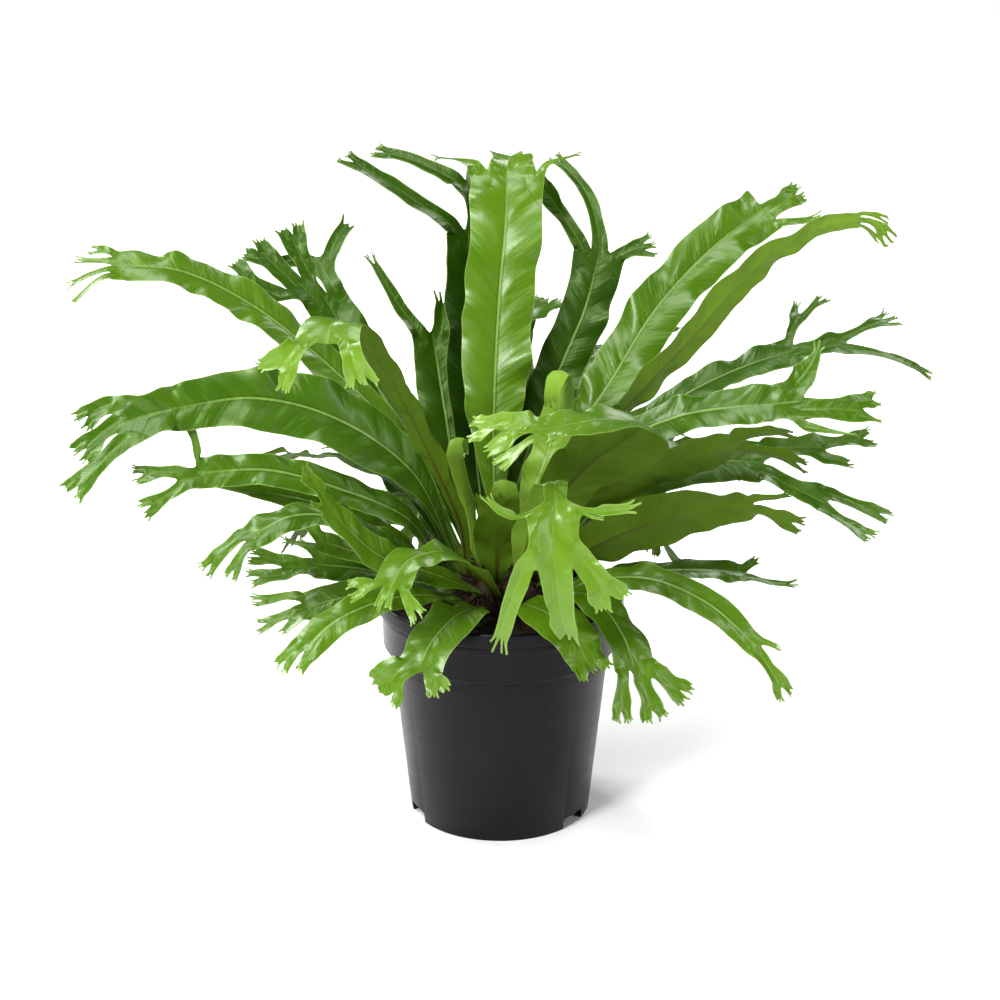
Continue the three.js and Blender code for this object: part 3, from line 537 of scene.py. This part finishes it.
class Midrib:  # the curve that a flat leaf is bent along, with the leaf's directions
    def __init__(self, frond):
        tilt = growth["ringTilt"][frond["ring"]] * degree
        seat = frond["seat"] * degree
        out = np.array([math.sin(tilt) * math.cos(seat), math.sin(tilt) * math.sin(seat), math.cos(tilt)])
        start = np.array([0, 0, growth["crownCentre"]]) + out * (growth["crownRadius"] + growth["seatGap"])
        way = [np.array(point, float) for point in frond["way"]]
        dense = throughPoints([start, start + out * growth["straightStart"], *way])
        travelled = np.concatenate([[0], np.cumsum(np.linalg.norm(np.diff(dense, axis=0), axis=1))])
        self.length = travelled[-1]
        self.curl = frond["curl"] * degree
        stations = np.linspace(0, self.length, growth["steps"] + 1)
        self.points = np.column_stack([np.interp(stations, travelled, dense[:, k]) for k in range(3)])
        self.tangents = np.gradient(self.points, axis=0)
        self.tangents /= np.linalg.norm(self.tangents, axis=1)[:, None]
        early, middle, late = frond["twist"]
        side = np.array([-math.sin(seat), math.cos(seat), 0])
        self.sides = []
        for i, tangent in enumerate(self.tangents):
            t = i / growth["steps"]
            side = side - tangent * side.dot(tangent)
            side /= np.linalg.norm(side)
            angle = early * (1 - t) * (1 - 2 * t) + 4 * middle * t * (1 - t) + late * t * (2 * t - 1)
            upright = np.cross(tangent, side)
            self.sides.append(side * math.cos(angle * degree) + upright * math.sin(angle * degree))
        self.sides = np.array(self.sides)

    def bend(self, along, across, lift):
        place = np.clip(along / self.length, 0, 1) * growth["steps"]
        i = np.minimum(place.astype(int), growth["steps"] - 1)
        f = (place - i)[:, None]
        point, tangent, side = (between(a[i], a[i + 1], f) for a in (self.points, self.tangents, self.sides))
        tangent /= np.linalg.norm(tangent, axis=1)[:, None]
        side /= np.linalg.norm(side, axis=1)[:, None]
        upright = np.cross(tangent, side)
        past = np.maximum(0, along - self.length)
        folded = growth["fold"] * abs(across) * (1 - smooth(past / growth["foldFade"]))
        rate = self.curl / growth["curlLength"] or 1e-6
        turn = (rate * past)[:, None]
        point = point + side * across[:, None] + tangent * np.sin(turn) / rate
        point += upright * (1 - np.cos(turn)) / rate
        outward = upright * np.cos(turn) - tangent * np.sin(turn)
        return point + outward * (folded + lift)[:, None]


def halfWidth(frond, share):
    swell = frond.get("swell", growth["swell"])
    grown = smooth((share - growth["baseShare"]) / (swell - growth["baseShare"]))
    narrowing = 1 - (1 - frond["neck"]) * smooth((share - growth["neckStart"]) / (1 - growth["neckStart"]))
    return between(growth["petioleWidth"], frond["width"], grown) * narrowing / 2


def lobeShare(lobe):
    if len(lobe) > 3:
        return lobe[3]
    return sum(lobeShare(child) for child in lobe[2]) if len(lobe) > 2 else 1


def parted(row, shares):  # neighbouring parts of a row of points, each as wide as its share
    whole = len(row) - 1
    ends = [int(whole * sum(shares[:k]) / sum(shares) + 0.5) for k in range(len(shares) + 1)]
    return [row[a:b + 1] for a, b in zip(ends, ends[1:])]


# The crest of one frond, grown on the flat leaf by extruding shares of its end row. Ribs
# collects the centre lines of the lobes as [from, to, length so far].

class Crest:
    def __init__(self, bm, frond, length, chance):
        self.bm = bm
        self.chance = chance
        self.lift = bm.verts.layers.float["lift"]
        self.young = bm.verts.layers.float["young"]
        self.inset = bm.verts.layers.float["inset"]
        self.pinch = frond.get("pinch", growth["pinch"])
        self.taper = frond.get("taper", growth["taper"])
        self.ribs = [((0, 0), (length, 0), 0)]

    def extrude(self, row):
        ends = set(row)
        edges = [e for e in {e for v in row for e in v.link_edges} if set(e.verts) <= ends]
        made = bmesh.ops.extrude_edge_only(self.bm, edges=edges)["geom"]
        away = row[-1].co - row[0].co
        return sorted((v for v in made if isinstance(v, bmesh.types.BMVert)), key=lambda v: v.co.dot(away))

    def grow(self, row, heading, lobes, travelled, slope):
        for lobe, part in zip(lobes, parted(row, [lobeShare(lobe) for lobe in lobes])):
            self.growLobe(part, heading, lobe, travelled, slope)

    def growLobe(self, row, heading, lobe, travelled, slope):
        turn, length, *rest = lobe
        if not length:  # the blade's own margin shows between lobes
            return
        turns = turn if isinstance(turn, list) else [turn * growth["rootTurnShare"], turn]
        children = rest[0] if rest else None
        flare = rest[2] if len(rest) > 2 else growth["flare"]
        body = length if children else length * growth["bodyShare"]
        bow = self.chance.uniform(-1, 1) * growth["bow"]
        roll = self.chance.uniform(-growth["roll"], growth["roll"])
        width = (row[-1].co - row[0].co).length
        pinch = self.pinch * min(1, length / (2.2 * width))
        sway = self.chance.uniform(0, 7)

        def shape(t):
            widening = flare * smooth((t - 0.5) / 0.5) if children else -self.taper * t
            half = width * (1 - pinch * smooth(t / 0.4) + widening) / 2
            places = [(t * length / growth["raggedLength"], sway, edge) for edge in (0, 5)]
            ragged = [1 + 0.5 * t * noise.noise(place) for place in places]
            return -half * ragged[0], half * ragged[1]

        row, travelled, slope = self.lay(row, heading, turns, body, shape, travelled, slope, bow, roll)
        heading += turns[1]
        if children:
            self.grow(row, heading, children, travelled, slope)
        else:
            self.growTeeth(row, heading, length - body, slope)

    def growTeeth(self, row, heading, length, slope):
        counts = self.chance.choice([[1, 1, 1, 1], [2, 1, 1], [1, 2, 1], [1, 1, 2]])
        spread = self.chance.uniform(*growth["toothSpread"])
        for i, share in enumerate(parted(row, counts)):
            width = (share[-1].co - share[0].co).length
            turn = spread * (i - (len(counts) - 1) / 2) + self.chance.uniform(-8, 8)
            long = np.clip(length, *growth["toothLength"]) * self.chance.uniform(0.4, 1.25)
            tip = min(width, self.chance.uniform(*growth["toothTip"]))
            hook = self.chance.uniform(-0.02, 0.03)

            def shape(t, width=width, tip=tip):
                half = between(width, tip, smooth(t / 0.8)) / 2
                return -half, half

            self.lay(share, heading, [turn * 0.6, turn * 1.4], long, shape, 0, slope, hook, 0, ribbed=False)

    def lay(self, row, heading, turns, length, shape, travelled, slope, bow, roll, ribbed=True):
        steps = max(2, round(length / growth["lobeStep"])) if ribbed else 3
        centre = (row[0].co + row[-1].co) / 2
        lift = sum(v[self.lift] for v in row) / len(row)
        step = length / steps
        for k in range(1, steps + 1):
            t = k / steps
            angle = (heading + between(*turns, t - 0.5 / steps)) * degree
            before = centre.copy()
            centre = centre + Vector((math.cos(angle), math.sin(angle), 0)) * step
            if ribbed:
                self.ribs.append((tuple(before[:2]), tuple(centre[:2]), travelled))
            travelled += step
            lift += slope * step
            slope += bow * step
            rowAngle = (heading + between(*turns, t)) * degree
            across = Vector((-math.sin(rowAngle), math.cos(rowAngle), 0))
            row = self.extrude(row)
            right, left = shape(t)
            for c, vert in enumerate(row):
                p = between(right, left, c / (len(row) - 1))
                vert.co = centre + across * p
                vert[self.lift] = lift + roll * p * t
                vert[self.young] = 1
                vert[self.inset] = min(p - right, left - p)
        return row, travelled, slope


def pressedLeaf(frond, midrib, chance):  # the whole leaf lying flat, x along it and y across it
    columns = growth["tipColumns"] * sum(lobeShare(lobe) for lobe in frond["crest"])
    rows = max(6, round(midrib.length / growth["rowStep"]))
    bm = bmesh.new()
    bm.verts.layers.float.new("lift")
    bm.verts.layers.float.new("young")
    inset = bm.verts.layers.float.new("inset")
    bmesh.ops.create_grid(bm, x_segments=rows, y_segments=columns, size=0.5)
    for vert in bm.verts:
        share = vert.co.x + 0.5
        blade = 1 - smooth((share - growth["neckStart"]) / (1 - growth["neckStart"]))
        gather = 1 + growth["gather"] * blade
        c = 2 * vert.co.y
        spread = math.copysign(abs(c) ** gather, c)
        half = halfWidth(frond, share)
        vert.co = Vector((midrib.length * share, half * spread, 0))
        vert[inset] = half * (1 - abs(spread))
    endRow = sorted((v for v in bm.verts if v.co.x > midrib.length - 1e-3), key=lambda v: v.co.y)
    crest = Crest(bm, frond, midrib.length, chance)
    crest.grow(endRow, 0, frond["crest"], midrib.length, 0)
    bmesh.ops.recalc_face_normals(bm, faces=bm.faces)
    if sum(face.normal.z for face in bm.faces) < 0:
        bmesh.ops.reverse_faces(bm, faces=bm.faces)
    return bm, np.array([[*a, *b, s] for a, b, s in crest.ribs])


def applied(piece, kind, settings):  # the mesh of a piece with one modifier applied
    modifier = piece.modifiers.new(kind.title(), kind)
    for key, value in settings.items():
        setattr(modifier, key, value)
    finished = bpy.data.meshes.new_from_object(piece.evaluated_get(bpy.context.evaluated_depsgraph_get()))
    mesh = piece.data
    bpy.data.objects.remove(piece)
    bpy.data.meshes.remove(mesh)
    return finished


def readPoints(mesh):
    points = np.empty(len(mesh.vertices) * 3)
    mesh.vertices.foreach_get("co", points)
    return points.reshape(-1, 3)


def readValues(mesh, name):
    values = np.empty(len(mesh.vertices))
    mesh.attributes[name].data.foreach_get("value", values)
    return values


def writeValues(mesh, name, values):
    mesh.attributes.new(name, "FLOAT", "POINT").data.foreach_set("value", values.astype(np.float32))


def noiseAt(x, y, z):
    return np.array([noise.noise(place) for place in np.column_stack([x, y, z])])


def nearestRib(along, across, ribs):  # distance along and beside the nearest rib
    fromS, fromV, toS, toV, travelled = (ribs[:, k][None, :] for k in range(5))
    runS, runV = toS - fromS, toV - fromV
    runLength = np.hypot(runS, runV)
    offS, offV = along[:, None] - fromS, across[:, None] - fromV
    share = np.clip((offS * runS + offV * runV) / runLength**2, 0, 1)
    besideS, besideV = offS - share * runS, offV - share * runV
    apart = np.hypot(besideS, besideV)
    best = np.argmin(apart, axis=1)
    pick = np.arange(len(along)), best
    return (travelled + share * runLength)[pick], apart[pick]


def softEdges(mesh, angle):  # edges turn sharp where the faces meet at more than this angle
    bm = bmesh.new()
    bm.from_mesh(mesh)
    for face in bm.faces:
        face.smooth = True
    for edge in bm.edges:
        edge.smooth = edge.calc_face_angle(0) < angle * degree
    bm.to_mesh(mesh)
    bm.free()


def makePiece(name, mesh, slot, *nodes):
    mesh.transform(Matrix.Translation(potPlace))
    piece = placed(name, mesh)
    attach(piece, "root")
    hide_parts(*nodes)
    return piece


def growFrond(number, frond, finishes):
    chance = random.Random(number)
    midrib = Midrib(frond)
    bm, ribs = pressedLeaf(frond, midrib, chance)
    coarse = placed("pressedLeaf", meshOf(bm, "pressedLeaf"))
    flat = applied(coarse, "SUBSURF", {"levels": 1, "render_levels": 1})
    points = readPoints(flat)
    lift, young = readValues(flat, "lift"), readValues(flat, "young")
    along, across = points[:, 0], points[:, 1]
    ribAlong, beside = nearestRib(along, across, ribs)
    share = along / midrib.length
    half = halfWidth(frond, np.clip(share, 0, 1))
    edge = np.clip(abs(across) / half, 0, 1) * (1 - young)
    inCrest = smooth((share - growth["crestStart"]) / 0.2)
    reach = np.clip(beside / between(half, growth["lobeReach"], inCrest), 0, 1)
    awake = smooth((share - growth["stalkShare"]) / 0.35)

    # the margins ruffle, and slanting pleats run from the midrib outwards
    ruffle = growth["ruffle"] * min(1, frond["width"] / growth["fullRuffleWidth"])
    left = across > 0
    vein = along - growth["pleatSlant"] * abs(across)
    one = np.ones_like(along)
    wander = noiseAt(along * 0.016, left * 5.0, one * number * 3.1)
    calm = 0.75 + 0.9 * noiseAt(along * 0.025, left * 9.0, one * number * 5.3)
    wave = np.zeros_like(along)
    scallop = np.zeros_like(along)
    for size, shorter in ((1, 1), (0.5, 0.55)):
        length = growth["ruffleLength"] * chance.uniform(0.85, 1.15) * shorter
        phase = np.where(left, chance.uniform(0, 7), chance.uniform(0, 7))
        slanted = along - growth["ruffleSlant"] * abs(across)
        turn = 2 * math.pi * slanted / length + phase + 5 * wander
        wave += size * np.sin(turn) * calm
        scallop += size * np.sin(turn + 1.2) * calm
    pleats = sum(size * noiseAt(vein / length, beside / 45, left * 7.0 + number * 1.7)
                 for size, length in ((1, growth["pleatLength"]), (0.25, growth["pleatLength"] * 0.42)))
    droop = growth["droop"] * half * edge**2
    lift += awake * (ruffle * reach**1.6 * wave * (1 - 0.5 * inCrest) - droop)
    lift += awake * growth["pleat"] * smooth(reach / 0.4) * pleats * (1 - 0.4 * inCrest)
    lift += growth["gutter"] * beside * young
    lift += growth["ribLift"] * np.exp(-((beside / growth["ribWidth"]) ** 2)) * (1 - 0.7 * smooth(share))
    wide = across * (1 + growth["scallop"] * scallop * awake * (1 - inCrest))
    flat.vertices.foreach_set("co", (midrib.bend(along, wide, lift) * mm).ravel())

    turnStart = growth["toneTurn"] * midrib.length
    tone = between(*frond["tone"], smooth((along - turnStart) / (midrib.length - turnStart + 40)))
    writeValues(flat, "ribAlong", ribAlong)
    writeValues(flat, "ribSide", beside)
    writeValues(flat, "frondShare", np.clip(share, 0, 1.5))
    writeValues(flat, "tone", tone)

    # the blade gets its thickness, with the midrib raised beneath
    ridge = np.exp(-((beside / 1.5) ** 2)) * (1 - 0.75 * smooth(share / 0.95)) * (1 - young)
    thickness = growth["sheet"] + (growth["rib"] - growth["sheet"]) * ridge
    thickness = np.maximum(thickness, growth["stalk"] * (1 - along / growth["stalkLength"]))
    piece = placed("thinLeaf", flat)
    group = piece.vertex_groups.new(name="thickness")
    for i, weight in enumerate(thickness / growth["stalk"]):
        group.add([i], float(weight), "REPLACE")
    for finish in finishes:
        flat.materials.append(finish)
    solid = {"thickness": growth["stalk"] * mm, "offset": -1, "vertex_group": "thickness",
             "material_offset": 1, "material_offset_rim": 1, "use_quality_normals": True}
    mesh = applied(piece, "SOLIDIFY", solid)
    mesh.name = frond["name"]
    softEdges(mesh, 55)
    slot = "young_leaf" if any(word in frond["name"] for word in growth["youngNames"]) else "leaf"
    return makePiece("leaf_" + frond["name"], mesh, slot, frond["name"])


# Pot

potSizes = {
    "height": 160,
    "lipRadius": 85,
    "lipHeight": 10,
    "collarRadius": 80.5,
    "collarFlare": 0.6,
    "collarBottom": 124,
    "bodyTopRadius": 75,
    "bodyTop": 120,
    "bead": 8,  # height of the raised band under the collar
    "footRadius": 62.5,
    "footHeight": 9,
    "footWidth": 4.5,
    "floor": 2,
    "wall": 1.8,
    "turns": 180,
    "notches": 3,
    "notchAngle": 20,
    "firstNotch": -36,
    "drainHoles": 6,
    "drainRadius": 5,
    "drainCircle": 40,
    "black": (0.0026, 0.0022, 0.0042),
    "dust": (0.05, 0.045, 0.04),
    "gloss": 0.31,
    "shine": 0.14,
}


def potFinish():
    bench = Bench("potPlastic")
    place = bench.place()
    x, y, z = (bench.part(place, axis) for axis in "XYZ")
    turning = bench.clouds(bench.vector(x * 3, y * 3, z * 900), 1.0, 3.0, 0.6)
    scuffs = bench.clouds(bench.vector(x * 40, y * 40, z * 260), 1.0, 4.0, 0.6)
    marks = bench.clouds(place, 55.0, 3.0)
    specks = bench.clouds(place, 620.0, 1.0).rising(0.735, 0.77) * marks.rising(0.5, 0.6)
    colour = bench.scaled(potSizes["black"], marks * 0.7 + turning * 0.35 + 0.5)
    colour = bench.mixed(specks * 0.6, colour, potSizes["dust"])
    height = turning * 0.22 + scuffs * 0.12
    roughness = scuffs * 0.16 + marks * 0.1 + (potSizes["gloss"] - 0.13)
    return bench.finished({"Base Color": colour, "Roughness": roughness, "Normal": bench.bump(height, 0.5),
                           "Specular IOR Level": potSizes["shine"]})


def turnedProfile(profile, turns):  # a closed outline of (radius, height) pairs turned about the axis
    bm = bmesh.new()
    verts = [bm.verts.new((r * mm, 0, z * mm)) for r, z in profile]
    edges = [bm.edges.new(pair) for pair in zip(verts, verts[1:])]
    bmesh.ops.spin(bm, geom=[*verts, *edges], cent=(0, 0, 0), axis=(0, 0, 1), angle=2 * math.pi,
                   steps=turns, use_merge=True)
    bmesh.ops.remove_doubles(bm, verts=bm.verts, dist=0.01 * mm)
    bmesh.ops.recalc_face_normals(bm, faces=bm.faces)
    return bm


def rounded(bm, edges, offset, segments):
    bmesh.ops.bevel(bm, geom=edges, affect="EDGES", offset=offset * mm, segments=segments, profile=0.5,
                    material=-1)


def makePot():
    s = potSizes
    lipBottom = s["height"] - s["lipHeight"]
    innerFloor = s["footHeight"] + s["floor"]
    slope = (s["bodyTopRadius"] - s["footRadius"]) / s["bodyTop"]
    neck = s["collarRadius"] + s["collarFlare"]
    footInside = s["footRadius"] - s["footWidth"]
    profile = [
        (0, s["footHeight"]), (footInside, s["footHeight"]), (footInside, 0), (s["footRadius"], 0),
        (s["bodyTopRadius"] - s["bead"] * slope, s["bodyTop"] - s["bead"]),
        (s["bodyTopRadius"] + 0.3, s["bodyTop"] - s["bead"] + 0.5),
        (s["bodyTopRadius"] + 0.5, s["bodyTop"]),
        (s["collarRadius"] - 0.8, s["collarBottom"] - 1), (s["collarRadius"], s["collarBottom"]),
        (neck - 0.2, lipBottom - 6), (neck + 0.5, lipBottom - 5.6), (neck + 0.5, lipBottom - 1.5),
        (neck, lipBottom), (s["lipRadius"] - 0.8, lipBottom), (s["lipRadius"], lipBottom + 0.8),
        (s["lipRadius"], s["height"] - 1), (s["lipRadius"] - 1, s["height"]),
        (s["lipRadius"] - s["wall"] - 0.6, s["height"]), (neck - s["wall"], lipBottom - 1),
        (s["collarRadius"] - s["wall"], s["collarBottom"]),
        (s["bodyTopRadius"] - s["wall"], s["bodyTop"] - 1),
        (s["footRadius"] + slope * innerFloor - s["wall"], innerFloor), (0, innerFloor),
    ]
    bm = turnedProfile(profile, s["turns"])
    rings = [e for e in bm.edges if e.is_manifold and e.calc_face_angle(0) > 25 * degree]
    rounded(bm, rings, 0.35, 2)

    cutters = bmesh.new()
    notchDepth = 3 * s["footWidth"] * mm
    notchWidth = 2 * s["footRadius"] * math.sin(s["notchAngle"] / 2 * degree)
    for i in range(s["notches"]):
        turn = Matrix.Rotation((s["firstNotch"] + 360 / s["notches"] * i) * degree, 4, "Z")
        size = Matrix.Diagonal((notchDepth, notchWidth * mm, 2 * (s["footHeight"] - 1) * mm, 1))
        out = Matrix.Translation(((s["footRadius"] - s["footWidth"] / 2) * mm, 0, 0))
        made = bmesh.ops.create_cube(cutters, size=1, matrix=turn @ out @ size)["verts"]
        corners = [e for e in {e for v in made for e in v.link_edges}
                   if all(v.co.z > 0 for v in e.verts) and abs(e.calc_length() - notchDepth) < 1e-5]
        rounded(cutters, corners, 2.5, 4)
    for i in range(s["drainHoles"]):
        centre = onCircle(360 / s["drainHoles"] * i, s["drainCircle"], s["footHeight"] + s["floor"] / 2)
        hole = Matrix.Translation([c * mm for c in centre])
        radius = s["drainRadius"] * mm
        bmesh.ops.create_cone(cutters, cap_ends=True, segments=32, radius1=radius, radius2=radius,
                              depth=4 * s["floor"] * mm, matrix=hole)
    cutter = placed("cutters", meshOf(cutters, "cutters"))
    cut = {"operation": "DIFFERENCE", "object": cutter, "solver": "EXACT"}
    mesh = applied(placed("uncutPot", meshOf(bm, "uncutPot")), "BOOLEAN", cut)
    mesh.name = "pot"
    bpy.data.objects.remove(cutter)
    softEdges(mesh, 28)
    mesh.materials.clear()
    mesh.materials.append(potFinish())
    return makePiece("pot", mesh, "pot_plastic", "nursery_pot")


# Potting mix

soilLook = {
    "level": 150,
    "fall": 3,
    "gap": 0.3,
    "turns": 120,
    "rings": 26,
    "roughness": 1.6,  # height of the lumps
    "crumbs": 900,
    "crumbSize": (1.0, 3.6),
    "dark": (0.006, 0.004, 0.003),
    "brown": (0.034, 0.015, 0.008),
    "bark": (0.070, 0.034, 0.017),
}


def soilFinish():
    bench = Bench("pottingMix")
    place = bench.place()
    lumps = bench.clouds(place, 260.0, 5.0, 0.7)
    patches = bench.clouds(place, 60.0, 2.0)
    fibres = bench.clouds(place, 900.0, 2.0)
    browns = [(0.3, soilLook["dark"]), (0.55, soilLook["brown"]), (0.75, soilLook["bark"])]
    colour = bench.ramp(lumps, browns)
    colour = bench.scaled(colour, patches * 1.1 + 0.35)
    roughness = 1 - fibres * 0.25
    return bench.finished({"Base Color": colour, "Roughness": roughness, "Specular IOR Level": 0.3,
                           "Normal": bench.bump(lumps + fibres * 0.4, 0.9)})


def makeSoil():
    s = potSizes
    chance = random.Random(7)
    innerFloor = s["footHeight"] + s["floor"]
    clear = s["wall"] + 2 * soilLook["gap"]
    slope = (s["bodyTopRadius"] - s["footRadius"]) / s["bodyTop"]
    edge = s["collarRadius"] - clear
    inner = 1.5 * growth["crownRadius"]

    def level(radius):  # the mix is level around the crown and falls towards the pot
        return soilLook["level"] - soilLook["fall"] * max(0, (radius - inner) / (edge - inner))

    radii = [edge * k / soilLook["rings"] for k in range(soilLook["rings"] + 1)]
    profile = [
        (0, innerFloor + soilLook["gap"]),
        (s["footRadius"] + slope * innerFloor - clear, innerFloor + soilLook["gap"]),
        (s["bodyTopRadius"] - clear, s["bodyTop"] - 1),
        (edge, s["collarBottom"] + 2 * soilLook["gap"]),
        *((radius, level(radius)) for radius in reversed(radii)),
    ]
    bm = turnedProfile(profile, soilLook["turns"])
    for vert in bm.verts:
        radius = vert.co.xy.length / mm
        if vert.co.z > (soilLook["level"] - soilLook["fall"] - 0.5) * mm:
            rough = noise.fractal(vert.co * 90, 1.0, 2.0, 3) + 0.5 * noise.noise(vert.co * 420)
            vert.co.z += soilLook["roughness"] * rough * mm * (1 if radius < edge - 1 else 0.3)
    for _ in range(soilLook["crumbs"]):
        radius = edge * math.sqrt(chance.random()) * 0.985
        angle = chance.uniform(0, 360)
        long = chance.uniform(*soilLook["crumbSize"])
        flat = chance.choice([0.3, 0.6, 0.8])
        wide = long * chance.uniform(0.3, 0.5)
        size = Matrix.Diagonal((long / 2 * mm, wide * mm, long * flat / 2 * mm, 1))
        turn = Matrix.Rotation(chance.uniform(0, 6.28), 4, "Z")
        turn @= Matrix.Rotation(chance.uniform(-0.7, 0.7), 4, "X")
        centre = onCircle(angle, radius, level(radius) + 0.15 * long)
        place = Matrix.Translation([c * mm for c in centre])
        bmesh.ops.create_icosphere(bm, subdivisions=1, radius=1, matrix=place @ turn @ size)
    mesh = meshOf(bm, "pottingMix")
    softEdges(mesh, 60)
    mesh.materials.append(soilFinish())
    return makePiece("pottingMix", mesh, "potting_mix", "potting_soil")


# Crown

crownLook = {
    "scales": 420,
    "scaleLength": (5.0, 11.0),
    "scaleWidth": 1.5,
    "brown": (0.040, 0.018, 0.008),
    "dark": (0.009, 0.005, 0.003),
    "green": (0.035, 0.065, 0.010),
}


def crownFinish():
    bench = Bench("crownScales")
    place = bench.place()
    fibres = bench.clouds(place, 420.0, 3.0, 0.6)
    patches = bench.clouds(place, 70.0, 2.0)
    colour = bench.ramp(fibres, [(0.3, crownLook["dark"]), (0.6, crownLook["brown"])])
    colour = bench.mixed(patches.rising(0.55, 0.75) * 0.5, colour, crownLook["green"])
    return bench.finished({"Base Color": colour, "Roughness": fibres * 0.2 + 0.6, "Specular IOR Level": 0.3,
                           "Normal": bench.bump(fibres, 0.8)})


def makeCrown():
    chance = random.Random(11)
    radius, centre = growth["crownRadius"], growth["crownCentre"]
    bottom = soilLook["level"] + soilLook["gap"]
    bm = bmesh.new()
    bmesh.ops.create_uvsphere(bm, u_segments=48, v_segments=32, radius=(radius - 1) * mm)
    for vert in bm.verts:
        vert.co += vert.co.normalized() * noise.fractal(vert.co * 130, 1.0, 2.0, 3) * 1.2 * mm
        vert.co.z = max(vert.co.z + centre * mm, bottom * mm)
    bmesh.ops.dissolve_degenerate(bm, dist=0.001 * mm, edges=bm.edges)
    for _ in range(crownLook["scales"]):
        tilt = math.acos(chance.uniform(0.05, 1))
        turn = chance.uniform(0, 2 * math.pi)
        long = chance.uniform(*crownLook["scaleLength"]) * mm
        wide = crownLook["scaleWidth"] * chance.uniform(0.6, 1.3) * mm
        size = Matrix.Diagonal((wide, 0.35 * wide, long, 1))
        lean = Matrix.Rotation(chance.uniform(0.35, 0.95), 4, "Y")
        out = Matrix.Rotation(turn, 4, "Z") @ Matrix.Rotation(tilt, 4, "Y")
        middle = Matrix.Translation((0, 0, centre * mm))
        seat = middle @ out @ Matrix.Translation((0, 0, (radius - 1.5) * mm))
        upright = Matrix.Rotation(chance.uniform(-0.5, 0.5), 4, "Z") @ lean
        bmesh.ops.create_cone(bm, cap_ends=True, segments=6, radius1=1, radius2=0.06, depth=1,
                              matrix=seat @ upright @ size @ Matrix.Translation((0, 0, 0.45)))
    mesh = meshOf(bm, "crown")
    softEdges(mesh, 50)
    mesh.materials.append(crownFinish())
    return makePiece("crownScales", mesh, "crown_scales", "crown")


# Studio: a pale floor, soft light and the camera

studio = {
    "cameraPlace": (0, -1.349, 0.673),
    "cameraPitch": 18.4,  # degrees below the horizon
    "focalLength": 75.7,
    "sensor": 36,
    "floorSize": 40,
    "floorColour": (0.92, 0.92, 0.92),
    "floorGlow": 0.40,  # painted light: the floor glows by itself, which keeps the shadows on it faint
    "glowFrom": 0.28,
    "glowTo": 0.95,
    "sky": 0.04,  # the light it sheds
    "backdrop": 0.9,  # how bright it looks
    "sunStrength": 2.2,
    "sunSpread": 30,
    "sunFrom": (-0.2, -0.3, 1),
}

softBoxes = [  # place, the point it faces, width, height, power
    ((-1.3, -1.7, 1.5), (0, 0, 0.25), 0.7, 0.9, 58),
    ((1.7, -1.0, 1.1), (0, 0, 0.2), 0.35, 1.4, 15),
    ((-1.4, 1.2, 1.4), (0, 0, 0.25), 1.3, 1.0, 60),
    ((0.9, 1.3, 1.7), (0, 0, 0.25), 0.8, 0.8, 20),
]


def makeStudio():
    scene = bpy.context.scene
    bm = bmesh.new()
    bmesh.ops.create_grid(bm, x_segments=1, y_segments=1, size=studio["floorSize"] / 2)
    floor = placed("floor", meshOf(bm, "floor"))
    bench = Bench("paleFloor")
    away = bench.add("ShaderNodeVectorMath", {"operation": "LENGTH"}, {0: bench.place()}, output="Value")
    # painted light: the floor glows, not at all near the pot and fully from glowTo metres out, so the far
    # floor stays white
    glow = bench.scaled((1, 1, 1), away.rising(studio["glowFrom"], studio["glowTo"]))
    lit = {"Base Color": studio["floorColour"], "Roughness": 0.7, "Specular IOR Level": 0.2,
           "Emission Color": glow, "Emission Strength": studio["floorGlow"]}
    floor.data.materials.append(bench.finished(lit))

    sky = bpy.data.worlds.new("studioSky")
    scene.world = sky
    sky.use_nodes = True
    background = sky.node_tree.nodes["Background"]
    background.inputs["Color"].default_value = (1, 1, 1, 1)
    seen = sky.node_tree.nodes.new("ShaderNodeLightPath").outputs["Is Camera Ray"]
    level = sky.node_tree.nodes.new("ShaderNodeMapRange")
    level.inputs["To Min"].default_value = studio["sky"]
    level.inputs["To Max"].default_value = studio["backdrop"]
    sky.node_tree.links.new(seen, level.inputs["Value"])
    sky.node_tree.links.new(level.outputs["Result"], background.inputs["Strength"])

    sun = bpy.data.lights.new("ceiling", "SUN")
    sun.energy = studio["sunStrength"]
    sun.angle = studio["sunSpread"] * degree
    placed("ceiling", sun).rotation_euler = Vector(studio["sunFrom"]).to_track_quat("Z", "Y").to_euler()

    for i, (place, target, width, height, power) in enumerate(softBoxes):
        lamp = bpy.data.lights.new(f"softBox{i}", "AREA")
        lamp.shape = "RECTANGLE"
        lamp.size = width
        lamp.size_y = height
        lamp.energy = power
        lampObject = placed(f"softBox{i}", lamp)
        lampObject.location = place
        lampObject.rotation_euler = (Vector(target) - Vector(place)).to_track_quat("-Z", "Y").to_euler()

    lens = bpy.data.cameras.new("camera")
    lens.lens = studio["focalLength"]
    lens.sensor_width = studio["sensor"]
    camera = placed("camera", lens)
    camera.location = Vector(studio["cameraPlace"]) + potPlace
    camera.rotation_euler = ((90 - studio["cameraPitch"]) * degree, 0, 0)
    scene.camera = camera
    scene.view_settings.view_transform = "Standard"


makeStudio()
makePot()
makeSoil()
makeCrown()
print("pot, potting mix and crown made")

leafFinishes = [leafTopFinish(), leafUnderFinish()]
for number, frond in enumerate(fronds):
    growFrond(number, frond, leafFinishes)
print(len(fronds), "fronds grown")
